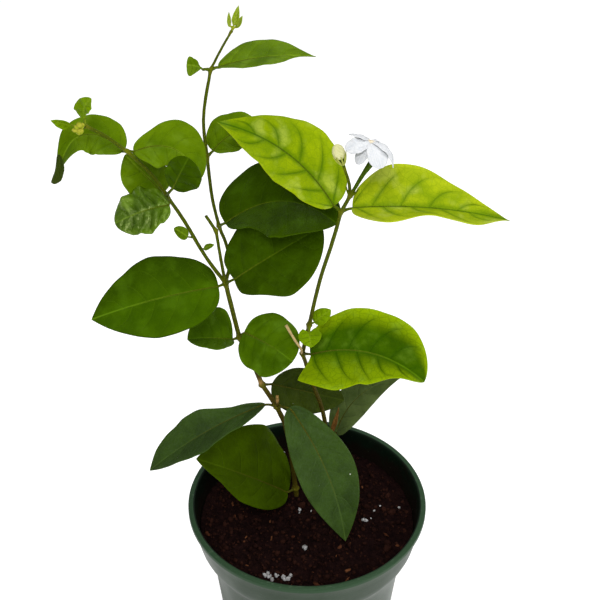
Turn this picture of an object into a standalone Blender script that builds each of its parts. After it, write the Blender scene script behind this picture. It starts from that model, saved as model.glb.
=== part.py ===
"""A potted jasmine in flower: pot, soil, two stems, and each leaf, bud and bloom as its own piece.

Lengths are millimetres from the middle of the pot's underside, +Z up, the viewer towards -Y. Leaves
are planned by hand: the joint each one grows from, its stalk, the run of its blade and its form.
"""

import math
from dataclasses import dataclass

import bmesh
import bpy
from mathutils import Matrix, Vector, noise

MM = 0.001

# Pot and soil
POT_HEIGHT = 140.0
RIM_RADIUS = 76.2
BASE_RADIUS = 52.0
WALL = 2.0
FLOOR = 3.0
POT_STEPS = 44
POT_OUTSIDE = (
    (BASE_RADIUS - 2.0, 0.0),
    (BASE_RADIUS - 0.2, 1.2),
    (60.3, 81.0),
    (62.4, 99.0),
    (65.2, 106.5),
    (69.6, 113.5),
    (71.2, 119.0),
    (73.4, POT_HEIGHT - 4.4),
    (RIM_RADIUS, POT_HEIGHT - 3.2),
    (RIM_RADIUS, POT_HEIGHT - 0.6),
    (RIM_RADIUS - 0.6, POT_HEIGHT),
    (RIM_RADIUS - 3.4, POT_HEIGHT),
    (RIM_RADIUS - 4.2, POT_HEIGHT - 1.0),
)
DRAIN_HOLES = 6
DRAIN_RADIUS = 5.0
DRAIN_CIRCLE = 38.0
SOIL_TOP = 122.0
SOIL_GAP = 0.6
SOIL_BUMP = 1.6
HOLE_BOTTOM = 109.5
STEM_FOOT = 110.0
STEM_SLACK = 0.5

# Joints of the stems
JOINTS = {
    "left_foot": (-7, 20, STEM_FOOT),
    "left_low": (-7.5, 20, 130),
    "left_1": (-19, 20, 201),
    "left_2": (-28, 20, 219),
    "left_3": (-41, 20, 256),
    "fork": (-48, 20, 296),
    "branch_1": (-78, 14, 360),
    "branch_2": (-97, 10, 390),
    "branch_3": (-117, 5, 408),
    "bare": (-52, 18, 334),
    "upper_1": (-51, 29, 330),
    "upper_2": (-56, 30, 375),
    "upper_3": (-52, 30, 428),
    "top": (-40, 28, 451),
    "right_foot": (14, 35, STEM_FOOT),
    "right_low": (13, 30, 169),
    "right_1": (-3, 22, 242),
    "right_2": (1, 18, 267),
    "right_3": (18, 2, 357),
    "truss": (22.5, -2.5, 370),
    "bud_foot": (18.6, -4.9, 389.1),
}
SWELL = 1.45
SWELL_REACH = 2.6
STEM_ENDS = ("branch_3", "top")


@dataclass(frozen=True)
class Run:
    """One stretch of stem through joints, written as names, and plain points between them."""

    way: tuple
    start: float
    end: float
    sides: int = 8


LEFT_RUNS = (
    Run(
        ("left_foot", (-7, 20, 125), "left_low", (-14, 20, 186), "left_1", "left_2", (-33, 20, 235), "left_3", "fork"),
        1.7,
        1.4,
    ),
    Run(
        ("fork", (-59, 18, 317), (-69, 16, 341), "branch_1", (-85, 12, 374), "branch_2", (-109, 7, 402), "branch_3"),
        1.15,
        0.9,
        6,
    ),
    Run(("fork", (-50, 18.5, 314), "bare", (-57, 16, 345)), 1.0, 0.9, 6),
    Run(
        ("fork", (-45.5, 26, 304.5), (-47, 29, 316), "upper_1", (-54, 29.5, 347), "upper_2", (-57, 30, 398), "upper_3"),
        1.1,
        0.9,
        6,
    ),
    Run(("upper_3", (-46, 29, 440), "top"), 0.75, 0.6, 6),
    Run(("left_1", (-21.5, 17, 210), (-22, 15.5, 219)), 0.9, 0.75, 6),
)
RIGHT_RUNS = (
    Run(
        (
            "right_foot",
            (14, 35, 126),
            "right_low",
            (9, 26, 196),
            (5, 25, 210),
            "right_1",
            "right_2",
            (7, 12, 304),
            (14, 6, 336),
            "right_3",
            "truss",
            (24.4, -3.3, 374.4),
        ),
        1.5,
        1.0,
    ),
    Run(("truss", (21.5, -4, 379), "bud_foot"), 0.9, 0.75, 6),
)


@dataclass(frozen=True)
class Leaf:
    """A leaf: where it joins, its stalk, and a blade folded along its midrib, bent and waved."""

    joint: str
    stalk: tuple
    blade: tuple
    half: float
    face: tuple = (0.0, -0.6, 0.8)
    arch: float = 0.05
    bend: float = 0.0
    fold: float = 8.0
    curl: float = 0.0
    wave: float = 0.8
    waves: float = 2.5
    phase: float = 0.0
    broadest: float = 0.4
    base: float = 0.55
    point: float = 1.05
    lobe: float = 0.02
    lobe_lean: float = 0.0
    lean: float = 0.0
    hook: tuple = (0.0, 0.0, 0.0)
    left_swell: tuple = (1.0, 1.0, 1.0)
    right_swell: tuple = (1.0, 1.0, 1.0)
    stations: int = 9
    columns: int = 7
    stalk_radius: float = 0.8


LEAVES = {
    "leaf_top_right": Leaf(
        "upper_3", (4, 0.5, 1.5), (52, 7, 2.5), 12.5, (0.1, -0.15, 1), bend=0.02, fold=5, point=1.5, base=1.0,
        broadest=0.55, left_swell=(1.3, 1.1, 1), right_swell=(0.8, 0.72, 0.25)
    ),
    "leaf_top_left": Leaf(
        "upper_3", (-3.4, -2, 1.4), (-8.6, -2.8, 3.6), 6, (0, -0.6, 0.8), 0.12, fold=20, lean=0.15, broadest=0.7,
        base=1.1, point=0.6, wave=0.3, stations=7, columns=5
    ),
    "leaf_far_left": Leaf(
        "branch_2", (-3, 5, -3), (-34, -9, 1), 13, (-0.1, -0.6, 0.75), 0.1, -0.3, 10, point=1.35,
        broadest=0.36, hook=(-3, -3, -14), wave=1.0, left_swell=(1, 1.08, 1.5), right_swell=(1, 0.82, 1.3)
    ),
    "leaf_left_round": Leaf(
        "branch_2", (3, 3, -2), (34.5, -5, -15), 13, (0, -0.55, 0.8), 0.1, 0.25, 5, lean=0.2, base=0.6,
        point=0.6, broadest=0.56, left_swell=(0.8, 1.08, 0.85), right_swell=(1.7, 1.1, 0.6)
    ),
    "leaf_left_inner": Leaf(
        "branch_1", (4.9, -12, 11.6), (9.3, 2, 17.8), 10.3, (0, -0.8, 0.6), fold=5, lean=-0.22, point=0.45, broadest=0.52,
        left_swell=(0.95, 1, 1.05), right_swell=(0.85, 1, 1), stations=8
    ),
    "leaf_left_lower": Leaf(
        "branch_1", (-3, 8, -3.5), (-19, -1, 25), 14, (0, -0.8, 0.6), lean=0.15, point=0.75, base=0.5,
        left_swell=(0.65, 0.85, 1)
    ),
    "leaf_crinkled": Leaf(
        "branch_1", (2, -9, -0.5), (-29, -8, -7), 15.5, (-0.1, -0.55, 0.8), 0.1, curl=30, wave=1.8, waves=3.0,
        base=0.4, point=0.5, broadest=0.42, left_swell=(0.7, 0.85, 0.85), stations=11
    ),
    "leaf_behind_stem": Leaf(
        "upper_2", (3, 5, 1), (27, 10, 9), 14, bend=0.12, point=0.8, left_swell=(0.88, 0.88, 1),
        right_swell=(0.75, 0.82, 1), stations=8
    ),
    "leaf_bright_left": Leaf(
        "right_3", (-4, 1, 3), (-63, 19, 41), 23, (0.15, -0.45, 0.85), 0.06, -0.09, wave=1.2, waves=3.0,
        left_swell=(0.88, 0.87, 0.92), right_swell=(1.08, 0.98, 0.74), stations=11
    ),
    "leaf_bright_right": Leaf(
        "right_3", (6, -1, 3), (84.5, -9, -2.5), 24, (0, -0.3, 0.97), 0.06, fold=28, wave=2.2, waves=1.4,
        phase=0.51, broadest=0.38, point=1.5, left_swell=(1, 0.9, 0.78), right_swell=(0.95, 0.65, 1.5),
        stations=12
    ),
    "leaf_mid_upper": Leaf(
        "upper_1", (4, -6, 6), (63, -15, 9), 23, (0, -0.42, 0.85), 0.06, 0.19, 14, base=0.42, point=0.5,
        lean=0.1, wave=0.7, left_swell=(0.95, 1, 0.8), right_swell=(0.95, 1.45, 1.6), stations=10
    ),
    "leaf_mid_lower": Leaf(
        "fork", (5.5, -8, 8.5), (50.5, 8, 31), 25, (0, -0.7, 0.7), 0.06, base=0.45, point=0.65, lobe=0.05,
        left_swell=(0.92, 1, 1), right_swell=(0.75, 1.08, 1.12)
    ),
    "leaf_broad_left": Leaf(
        "fork", (-4, -3, 0), (-74, -11, -16), 25, (-0.1, -0.6, 0.8), bend=-0.01, base=0.48, point=0.95,
        broadest=0.42, wave=1.2, right_swell=(0.94, 1, 1), stations=11
    ),
    "leaf_small_left": Leaf(
        "left_3", (-4, -2, 0), (-26, -10, 8), 17, (0, -0.35, 0.93), fold=26, point=0.6, wave=0.6,
        left_swell=(0.6, 0.8, 0.9), right_swell=(1.25, 1.05, 0.95), stations=8
    ),
    "leaf_round_centre": Leaf(
        "left_3", (3, -3, 6), (29, -13, -12), 20, (0.1, -0.6, 0.8), bend=0.03, base=0.45, point=0.5,
        broadest=0.45, left_swell=(0.95, 0.95, 1), right_swell=(1, 0.97, 1.2)
    ),
    "leaf_bright_lower": Leaf(
        "right_1", (5, -7, 5), (68, -13, -11), 25.5, (0, -0.55, 0.85), 0.06, 0.12, base=0.42, point=0.68,
        broadest=0.5, lobe=0.14, lobe_lean=0.95, wave=1.3, left_swell=(1.05, 1.05, 1.1),
        right_swell=(1.25, 0.85, 0.45), stations=11
    ),
    "leaflet_heart": Leaf(
        "right_2", (0, -5, -2), (1, -8, -5), 7, point=0.7, lobe=0.15, wave=0.3, stations=7, columns=5
    ),
    "leaflet_behind_heart": Leaf(
        "right_2", (3, 4, -1), (10, 3, 7), 5, point=0.8, wave=0.2, stalk_radius=0.6, stations=7, columns=5
    ),
    "leaf_shaded_inner": Leaf("left_2", (6, 8, -6.5), (46, 15, -26), 15.5, (0, -0.85, 0.5), -0.02, point=0.8),
    "leaf_shaded_right": Leaf(
        "right_low", (6, 10, -9.5), (43, 6, 45), 11, (0, -0.7, 0.7), bend=0.14, stations=8
    ),
    "leaf_low_left": Leaf(
        "left_1", (-7, -2, 4), (-73, -20, -38), 16, (-0.3, -0.3, 0.9), bend=-0.015, fold=18, base=0.8,
        point=0.95, broadest=0.55, wave=1.3, right_swell=(0.55, 0.93, 1), stations=10
    ),
    "leaf_olive_low": Leaf(
        "left_low", (-5, -5, 1), (-57, -15.5, 44.5), 22.5, (0, -0.5, 0.85), point=0.9, lean=-0.15,
        left_swell=(1, 1, 0.78), right_swell=(1.1, 1.35, 1.2)
    ),
    "leaf_front": Leaf(
        "left_1", (8, -8, 6), (35, -42, -74), 18.5, bend=0.06, base=0.6, point=1.0, broadest=0.5, wave=1.2,
        left_swell=(0.88, 1, 0.93), stations=11
    ),
    "leaflet_upright": Leaf(
        "branch_3", (0.5, -2, 5.5), (5, -3, 13), 5.2, (-0.4, -0.9, 0.2), fold=12, bend=0.12, point=0.7,
        wave=0.8, stalk_radius=0.6, right_swell=(0.3, 0.8, 1), stations=8, columns=5
    ),
    "leaflet_arrow": Leaf(
        "branch_3", (-8, 2.5, -1), (-9.5, -3, 4.5), 3.4, (-0.3, -0.8, 0.5), fold=30, base=0.9, point=1.0,
        wave=0.2, stalk_radius=0.5, right_swell=(0.55, 0.55, 0.6), stations=6, columns=5
    ),
    "leaflet_on_branch": Leaf(
        (-64.4, 16.9, 330), (-3.4, -3.6, 3), (-7, -2, 7), 3.6, base=0.5, point=0.6, wave=0.1,
        stalk_radius=0.5, stations=6, columns=5
    ),
    "leaflet_stalked": Leaf(
        (-61, 17.6, 322), (2, -5, 3.2), (6, -2, 4.2), 1.8, base=0.7, point=0.7, wave=0.1, stalk_radius=0.5,
        stations=6, columns=5
    ),
}

SHOOT_LEAVES = (
    Leaf("top", (-0.4, -1, 1.5), (0, 0, 8.5), 1.3, (0, -1, 0.1), fold=10, wave=0, stations=6, columns=5, stalk_radius=0.5),
    Leaf("top", (0.8, -0.8, 1.5), (3, -1, 11.5), 2.2, (0, -1, 0.1), fold=15, wave=0.2, stations=6, columns=5, stalk_radius=0.5),
    Leaf("top", (1, 0.8, 0.5), (4, 0, 6.5), 1.3, (0, -1, 0.1), fold=10, wave=0, stations=6, columns=5, stalk_radius=0.5),
)

# Flower and bud
TUBE_FOOT = (24.6, -3.4, 374.8)
TUBE_WAY = (TUBE_FOOT, (29, -5.2, 385), (33, -7, 393))
TUBE_RADII = (0.85, 1.15, 1.75)
THROAT = (32.0, -9.0, 406.0)
NECK_WAY = ((33.3, -7.2, 393.9), (33.4, -8.2, 399), THROAT)
NECK_RADII = (1.25, 1.3, 1.9)
PETALS = (
    Leaf("throat", (0, 0, 0), (-13.0, 6.0, -1.0), 3.6, (0, 0, 1), 0.10, fold=-12, wave=0.3, stations=6, columns=5),
    Leaf("throat", (0, 0, 0), (-14.5, -4.5, -3.5), 4.8, (-0.2, -0.2, 1), 0.14, fold=-10, wave=0.4, stations=6, columns=5),
    Leaf("throat", (0, 0, 0), (-7.5, -9.5, -8.5), 4.4, (-0.3, -0.4, 0.8), 0.14, fold=-10, wave=0.3, stations=6, columns=5),
    Leaf("throat", (0, 0, 0), (5.5, -11.5, -9.5), 5.6, (0.2, -0.5, 0.8), 0.16, fold=-10, wave=0.4, stations=6, columns=5),
    Leaf("throat", (0, 0, 0), (12.0, -5.5, -12.5), 4.0, (0.8, -0.2, 0.6), 0.22, fold=-10, wave=0.3, stations=6, columns=5),
    Leaf("throat", (0, 0, 0), (10.5, 8.0, -6.0), 4.6, (0.4, 0.2, 0.9), 0.14, fold=-10, wave=0.3, stations=6, columns=5),
    Leaf("throat", (0, 0, 0), (-1.0, 12.5, -5.0), 4.4, (0, 0.3, 1), 0.14, fold=-10, wave=0.3, stations=6, columns=5),
)
BUD_MIDDLE = (15.6, -6.2, 398.8)
BUD_AXIS = (-3.4, -1.6, 11.0)
BUD_RADIUS = 3.8
BUD_LENGTH = 10.8
CALYX_CUP = (18.6, -5.0, 388.6)
TEETH = 6

# Sections of a leaf
MIDDLE_THICK = 0.9
RIM_THICK = 0.6
STALK_GAP = 0.35

# Colours, 0 to 255
GREEN_POT = (40, 62, 46)
SOIL_BROWN = (38, 25, 20)
STEM_GREEN = (85, 100, 20)
WHITE = (240, 240, 242)
BUD_CREAM = (226, 226, 150)
TAN = (176, 152, 104)
BRACT_BROWN = (110, 70, 38)
TIP_GREEN = (150, 165, 50)
LEAF_GREENS = {
    "leaf_top_right": (75, 115, 5),
    "leaf_top_left": (60, 100, 15),
    "leaf_far_left": (75, 115, 5),
    "leaf_left_round": (75, 115, 5),
    "leaf_left_inner": (30, 70, 10),
    "leaf_left_lower": (90, 110, 5),
    "leaf_crinkled": (60, 105, 20),
    "leaf_behind_stem": (60, 95, 5),
    "leaf_bright_left": (150, 170, 10),
    "leaf_bright_right": (150, 170, 10),
    "leaf_mid_upper": (40, 75, 0),
    "leaf_mid_lower": (45, 85, 5),
    "leaf_bright_lower": (100, 150, 0),
    "leaf_shaded_inner": (40, 55, 25),
    "leaf_shaded_right": (40, 60, 30),
    "leaf_low_left": (50, 80, 35),
    "leaf_olive_low": (45, 70, 0),
    "leaf_front": (50, 80, 35),
    "leaflet_heart": (120, 150, 40),
    "leaflet_behind_heart": (110, 140, 30),
}
PLAIN_LEAF = (50, 95, 5)


def finish(body, colour, roughness=0.5, metallic=0.0):
    """Give a body its own material, the colour in 0 to 255."""
    material = bpy.data.materials.new(body.name)
    material.use_nodes = True
    shader = material.node_tree.nodes["Principled BSDF"]
    linear = [(c / 255) ** 2.2 for c in colour]
    shader.inputs["Base Color"].default_value = (*linear, 1.0)
    shader.inputs["Roughness"].default_value = roughness
    shader.inputs["Metallic"].default_value = metallic
    body.data.materials.clear()
    body.data.materials.append(material)
    body.data.polygons.foreach_set("use_smooth", [True] * len(body.data.polygons))
    return body


def activate(body):
    bpy.ops.object.select_all(action="DESELECT")
    body.select_set(True)
    bpy.context.view_layer.objects.active = body


def face_out(mesh):
    bmesh.ops.recalc_face_normals(mesh, faces=mesh.faces)
    if mesh.calc_volume(signed=True) < 0:
        bmesh.ops.reverse_faces(mesh, faces=mesh.faces)


def clean(body):
    """Merge a body's seams, close it and face it outwards."""
    mesh = bmesh.new()
    mesh.from_mesh(body.data)
    bmesh.ops.remove_doubles(mesh, verts=mesh.verts, dist=1e-6)
    face_out(mesh)
    mesh.to_mesh(body.data)
    mesh.free()
    return body


def combine(body, tool, operation, solver="EXACT"):
    """Add or cut with another body, which is then removed."""
    activate(body)
    modifier = body.modifiers.new("Combine", "BOOLEAN")
    modifier.operation = operation
    modifier.solver = solver
    modifier.object = tool
    bpy.ops.object.modifier_apply(modifier=modifier.name)
    bpy.data.objects.remove(tool)
    return body


def lathe(name, profile):
    """Turn a profile of radius and height about the pot's axis."""
    mesh = bpy.data.meshes.new(name)
    points = [(radius * MM, 0.0, height * MM) for radius, height in profile]
    mesh.from_pydata(points, [(i, i + 1) for i in range(len(points) - 1)], [])
    body = bpy.data.objects.new(name, mesh)
    bpy.context.collection.objects.link(body)
    activate(body)
    screw = body.modifiers.new("Lathe", "SCREW")
    screw.steps = POT_STEPS
    screw.render_steps = POT_STEPS
    screw.use_merge_vertices = True
    screw.merge_threshold = 1e-5
    bpy.ops.object.modifier_apply(modifier=screw.name)
    return clean(body)


def inside_profile():
    """The pot's inner wall, from the lip down to the floor."""
    wall = [(radius - WALL, height) for radius, height in POT_OUTSIDE if FLOOR < height < POT_HEIGHT - 4]
    return wall[::-1] + [(BASE_RADIUS - WALL - 0.2, FLOOR)]


def make_pot():
    profile = [(0.0, 0.0), *POT_OUTSIDE, *inside_profile(), (0.0, FLOOR)]
    pot = lathe("pot", profile)
    for k in range(DRAIN_HOLES):
        angle = math.tau * (k + 0.5) / DRAIN_HOLES
        place = (DRAIN_CIRCLE * math.cos(angle) * MM, DRAIN_CIRCLE * math.sin(angle) * MM, FLOOR / 2 * MM)
        bpy.ops.mesh.primitive_cylinder_add(
            vertices=12, radius=DRAIN_RADIUS * MM, depth=4 * FLOOR * MM, location=place
        )
        combine(pot, bpy.context.object, "DIFFERENCE")
    return finish(pot, GREEN_POT, 0.4)


def make_soil():
    """Soil that fills the pot, its top uneven, with a plain hole for each stem."""
    side = [(radius - SOIL_GAP, height) for radius, height in inside_profile() if height < SOIL_TOP - 1]
    edge = (side[0][0] + 0.1, SOIL_TOP - 0.9)
    top = [(radius, SOIL_TOP) for radius in (0.0, 12.0, 24.0, 36.0, 48.0, 60.0)]
    floor_edge = (side[-1][0], FLOOR + 0.4)
    soil = lathe("soil", [*top, edge, *side[:-1], floor_edge, (0.0, FLOOR + 0.4)])
    for vertex in soil.data.vertices:
        if vertex.co.z > (SOIL_TOP - 0.5) * MM:
            vertex.co.z += SOIL_BUMP * MM * noise.noise(vertex.co * 70.0)
    for foot, radius in (("left_foot", LEFT_RUNS[0].start), ("right_foot", RIGHT_RUNS[0].start)):
        x, y, _ = JOINTS[foot]
        height = SOIL_TOP + 8 - HOLE_BOTTOM
        bpy.ops.mesh.primitive_cylinder_add(
            vertices=12,
            radius=(radius + STEM_SLACK) * MM,
            depth=height * MM,
            location=(x * MM, y * MM, (HOLE_BOTTOM + height / 2) * MM),
        )
        combine(soil, bpy.context.object, "DIFFERENCE")
    return finish(soil, SOIL_BROWN, 0.9)


def knots(run):
    """A run's points and radii, with each joint swollen."""
    places = [(Vector(JOINTS[p] if isinstance(p, str) else p), isinstance(p, str)) for p in run.way]
    found = []
    for k, (place, joint) in enumerate(places):
        radius = run.start + (run.end - run.start) * k / (len(places) - 1)
        if not joint or run.way[k].endswith("foot"):
            found.append((place, radius))
            continue
        if k:
            back = (places[k - 1][0] - place).normalized()
            found.append((place + back * SWELL_REACH, radius))
        found.append((place, radius * SWELL))
        if k < len(places) - 1:
            ahead = (places[k + 1][0] - place).normalized()
            found.append((place + ahead * SWELL_REACH, radius))
    return found


def tube(name, points, sides=8):
    """A round stem through points with radii, capped at both ends."""
    curve = bpy.data.curves.new(name, "CURVE")
    curve.dimensions = "3D"
    curve.bevel_depth = 1.0
    curve.bevel_resolution = sides // 2 - 2
    curve.resolution_u = 2
    curve.use_fill_caps = True
    spline = curve.splines.new("BEZIER")
    spline.bezier_points.add(len(points) - 1)
    for knot, (place, radius) in zip(spline.bezier_points, points):
        knot.co = place * MM
        knot.radius = radius * MM
        knot.handle_left_type = "AUTO"
        knot.handle_right_type = "AUTO"
    body = bpy.data.objects.new(name, curve)
    bpy.context.collection.objects.link(body)
    activate(body)
    bpy.ops.object.convert(target="MESH")
    return clean(bpy.context.object)


def ball(place, radius, stretch=1.0, axis=(0, 0, 1), segments=10, rings=6):
    """An egg of a radius, stretched along an axis."""
    bpy.ops.mesh.primitive_uv_sphere_add(segments=segments, ring_count=rings, radius=radius * MM)
    body = bpy.context.object
    turn = Vector((0, 0, 1)).rotation_difference(Vector(axis)).to_matrix().to_4x4()
    body.data.transform(Matrix.Translation(Vector(place) * MM) @ turn @ Matrix.Diagonal((1, 1, stretch, 1)))
    return body


def unite(name, pieces, solver="EXACT"):
    """One body of overlapping pieces."""
    body = pieces[0]
    for piece in pieces[1:]:
        combine(body, piece, "UNION", solver)
    body.name = name
    return clean(body)


def make_stem(name, runs):
    pieces = [tube(f"{name}_{k}", knots(run), run.sides) for k, run in enumerate(runs)]
    return finish(unite(name, pieces), STEM_GREEN, 0.55)


def width_share(leaf, u):
    """The blade's half width along it, as a share of its broadest."""
    if u < leaf.broadest:
        return (1 - (1 - u / leaf.broadest) ** 2) ** leaf.base
    beyond = (u - leaf.broadest) / (1 - leaf.broadest)
    return (1 - min(beyond, 1.0) ** 1.9) ** leaf.point


class Blade:
    """A leaf's surface: along the midrib u runs from 0 to 1, across it v runs from -1 to 1."""

    def __init__(self, leaf, heel):
        self.leaf = leaf
        self.heel = heel
        run = Vector(leaf.blade)
        self.length = run.length
        self.along = run.normalized()
        face = Vector(leaf.face)
        self.up = (face - face.dot(self.along) * self.along).normalized()
        self.left = self.up.cross(self.along)

    def midrib(self, u):
        rise = 4 * u * (1 - u)
        place = self.along * u + self.up * (self.leaf.arch * rise) + self.left * (self.leaf.bend * rise)
        return self.heel + place * self.length + Vector(self.leaf.hook) * max(0.0, u / 0.3 - 2.3333) ** 2

    def swell(self, u, v):
        """Each side's own fullness near the heel, in the middle and near the tip."""
        near, middle, far = self.leaf.left_swell if v > 0 else self.leaf.right_swell
        early = min(1, max(0, (u - 0.15) / 0.35))
        late = min(1, max(0, (u - 0.5) / 0.35))
        return near + (middle - near) * early**2 * (3 - 2 * early) + (far - middle) * late**2 * (3 - 2 * late)

    def at(self, u, v):
        leaf = self.leaf
        step = 1e-3
        along = (self.midrib(min(1, u + step)) - self.midrib(max(0, u - step))).normalized()
        left = (self.left - self.left.dot(along) * along).normalized()
        up = along.cross(left)
        reach = abs(v)
        swell = self.swell(u, v)
        half = leaf.half * width_share(leaf, u) * (1 + leaf.lean * math.copysign(1, v)) * swell * reach
        lift = math.radians(leaf.fold - leaf.curl * reach / 2)
        turns = leaf.waves * u + leaf.phase + (0.37 if v > 0 else 0)
        ripple = leaf.wave * reach**1.5 * math.sin(math.tau * turns) * min(1, 4 * u) * min(1, 3 * (1 - u))
        lobe = leaf.lobe * (1 - leaf.lobe_lean * math.copysign(1, v))
        back = lobe * self.length * reach**1.5 * (1 - u) ** 6 * min(1, u / 0.05) ** 0.7
        side = math.copysign(half * math.cos(lift), v)
        return self.midrib(u) + left * side + up * (half * math.sin(lift) + ripple) - along * back

    def facing(self, u, v):
        """The surface's own direction, so that the blade is as thick everywhere."""
        step = 0.01
        low, high = max(0.001, u - step), min(0.999, u + step)
        across = self.at(u, v + step) - self.at(u, v - step)
        return (self.at(high, v) - self.at(low, v)).cross(across).normalized()


def blade_ring(blade, u):
    """A section of the blade: its points on the upper side, then on the lower side, backwards."""
    upper, lower = [], []
    for j in range(blade.leaf.columns):
        v = -1 + 2 * j / (blade.leaf.columns - 1)
        half_thick = (MIDDLE_THICK + (RIM_THICK - MIDDLE_THICK) * abs(v)) / 2
        facing = blade.facing(u, v)
        place = blade.at(u, v)
        upper.append(place + facing * half_thick)
        lower.append(place - facing * half_thick)
    return upper + lower[::-1]


def stalk_ring(blade, place, along, radius):
    """A round section of the stalk, with as many points as the blade's."""
    count = blade.leaf.columns
    left = (blade.left - blade.left.dot(along) * along).normalized()
    up = along.cross(left)
    angles = [math.pi - (j + 0.5) * math.pi / count for j in range(count)]
    upper = [place + (left * math.cos(a) + up * math.sin(a)) * radius for a in angles]
    lower = [place + (left * math.cos(a) - up * math.sin(a)) * radius for a in angles]
    return upper + lower[::-1]


def joint_frame(joint, runs):
    """A joint's place, the way its stem runs there and the stem's radius."""
    if not isinstance(joint, str):
        return Vector(joint), Vector((-10, -2, 24)).normalized(), 0.8
    place = Vector(JOINTS[joint])
    for run in runs:
        if joint in run.way:
            k = run.way.index(joint)
            points = [Vector(JOINTS[p] if isinstance(p, str) else p) for p in run.way]
            ahead = points[min(k + 1, len(points) - 1)] - points[max(k - 1, 0)]
            radius = run.start + (run.end - run.start) * k / (len(points) - 1)
            return place, ahead.normalized(), radius
    raise ValueError(joint)


def foot_distance(radius, lean, stalk_radius):
    """How far along a stalk its foot is clear of the stem, for the cosine of its lean to the stem."""
    sine = max(0.45, math.sqrt(1 - lean * lean))
    distance = radius
    for _ in range(6):
        swelling = (SWELL - 1) * max(0.0, 1 - max(0.0, distance * abs(lean) - stalk_radius) / SWELL_REACH)
        distance = (radius * (1 + swelling) + STALK_GAP + stalk_radius * abs(lean)) / sine
    return distance


def leaf_sections(leaf):
    """Sections from the stalk's foot, clear of the stem, to near the blade's tip, and the tip."""
    place, stem, radius = joint_frame(leaf.joint, LEFT_RUNS + RIGHT_RUNS)
    heel = place + Vector(leaf.stalk)
    blade = Blade(leaf, heel)
    out = Vector(leaf.stalk).normalized()
    lean = out.dot(stem)
    distance = foot_distance(radius, lean, leaf.stalk_radius)
    if leaf.joint in STEM_ENDS and lean > 0.3:
        beyond = (STALK_GAP + leaf.stalk_radius * math.sqrt(1 - lean * lean)) / lean
        distance = min(distance, beyond)
    foot = place + out * distance
    start = (blade.midrib(0.02) - heel).normalized()
    sections = [stalk_ring(blade, foot, out, leaf.stalk_radius)]
    middle = (foot + heel) / 2
    if (heel - foot).length > 4:
        sections.append(stalk_ring(blade, middle, (out + start).normalized(), leaf.stalk_radius * 0.9))
    sections.append(stalk_ring(blade, heel, start, leaf.stalk_radius))
    for i in range(leaf.stations):
        u = 0.5 - 0.5 * math.cos(math.pi * (0.1 + 0.83 * i / (leaf.stations - 1)))
        sections.append(blade_ring(blade, u))
    return sections, blade.midrib(1.0)


def solid_of(name, sections, tip):
    """Skin sections with triangles split alike on both faces, and close both ends."""
    mesh = bmesh.new()
    rings = [[mesh.verts.new(point * MM) for point in ring] for ring in sections]
    apex = mesh.verts.new(tip * MM)
    count = len(rings[0])
    half = count // 2
    for ring, following in zip(rings, rings[1:]):
        for k in range(count):
            n = (k + 1) % count
            corners = (ring[k], ring[n], following[n], following[k])
            if k < half:
                faces = (corners[:3], (corners[0], corners[2], corners[3]))
            else:
                faces = ((corners[1], corners[3], corners[0]), corners[1:])
            for face in faces:
                mesh.faces.new(face)
    for k in range(count):
        mesh.faces.new((rings[-1][k], rings[-1][(k + 1) % count], apex))
    mesh.faces.new(rings[0][::-1])
    bmesh.ops.triangulate(mesh, faces=[f for f in mesh.faces if len(f.verts) > 4])
    face_out(mesh)
    data = bpy.data.meshes.new(name)
    mesh.to_mesh(data)
    mesh.free()
    body = bpy.data.objects.new(name, data)
    bpy.context.collection.objects.link(body)
    return body


def make_leaf(name, leaf):
    return finish(solid_of(name, *leaf_sections(leaf)), LEAF_GREENS.get(name, PLAIN_LEAF), 0.4)


def make_shoot_tip():
    """The three young leaves at the very top, on one short foot."""
    place = Vector(JOINTS["top"]) + Vector((0.7, 0, 1.5))
    foot = ball(place, 0.9, 1.1, segments=8, rings=5)
    leaves = [solid_of("young", *petal_sections(leaf, place, 0.5)) for leaf in SHOOT_LEAVES]
    return finish(unite("shoot_tip_top", [foot, *leaves]), TIP_GREEN, 0.5)


def petal_sections(leaf, foot, radius):
    """Sections of a blade that starts inside a body, with a short round heel."""
    blade = Blade(leaf, foot + Vector(leaf.stalk))
    sections = [stalk_ring(blade, foot, blade.along, radius)]
    for i in range(leaf.stations):
        u = 0.5 - 0.5 * math.cos(math.pi * (0.14 + 0.78 * i / (leaf.stations - 1)))
        sections.append(blade_ring(blade, u))
    return sections, blade.midrib(1.0)


def make_flower():
    """White petals that droop from the mouth of a short tube."""
    throat = Vector(THROAT)
    pieces = [tube("neck", [(Vector(p), r) for p, r in zip(NECK_WAY, NECK_RADII)]), ball(throat, 2.2, 0.8)]
    for petal in PETALS:
        foot = throat + Vector(petal.blade).normalized() * 0.9
        pieces.append(solid_of("petal", *petal_sections(petal, foot, 0.7)))
    return finish(unite("flower_petals", pieces, "MANIFOLD"), WHITE, 0.45)


def make_calyx():
    points = [(Vector(p), r) for p, r in zip(TUBE_WAY, TUBE_RADII)]
    return finish(tube("flower_calyx", points), STEM_GREEN, 0.5)


def make_bud():
    axis = Vector(BUD_AXIS).normalized()
    bud = ball(BUD_MIDDLE, BUD_RADIUS, BUD_LENGTH / 2 / BUD_RADIUS, axis, 14, 9)
    bud.name = "bud"
    return finish(bud, BUD_CREAM, 0.5)


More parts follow.
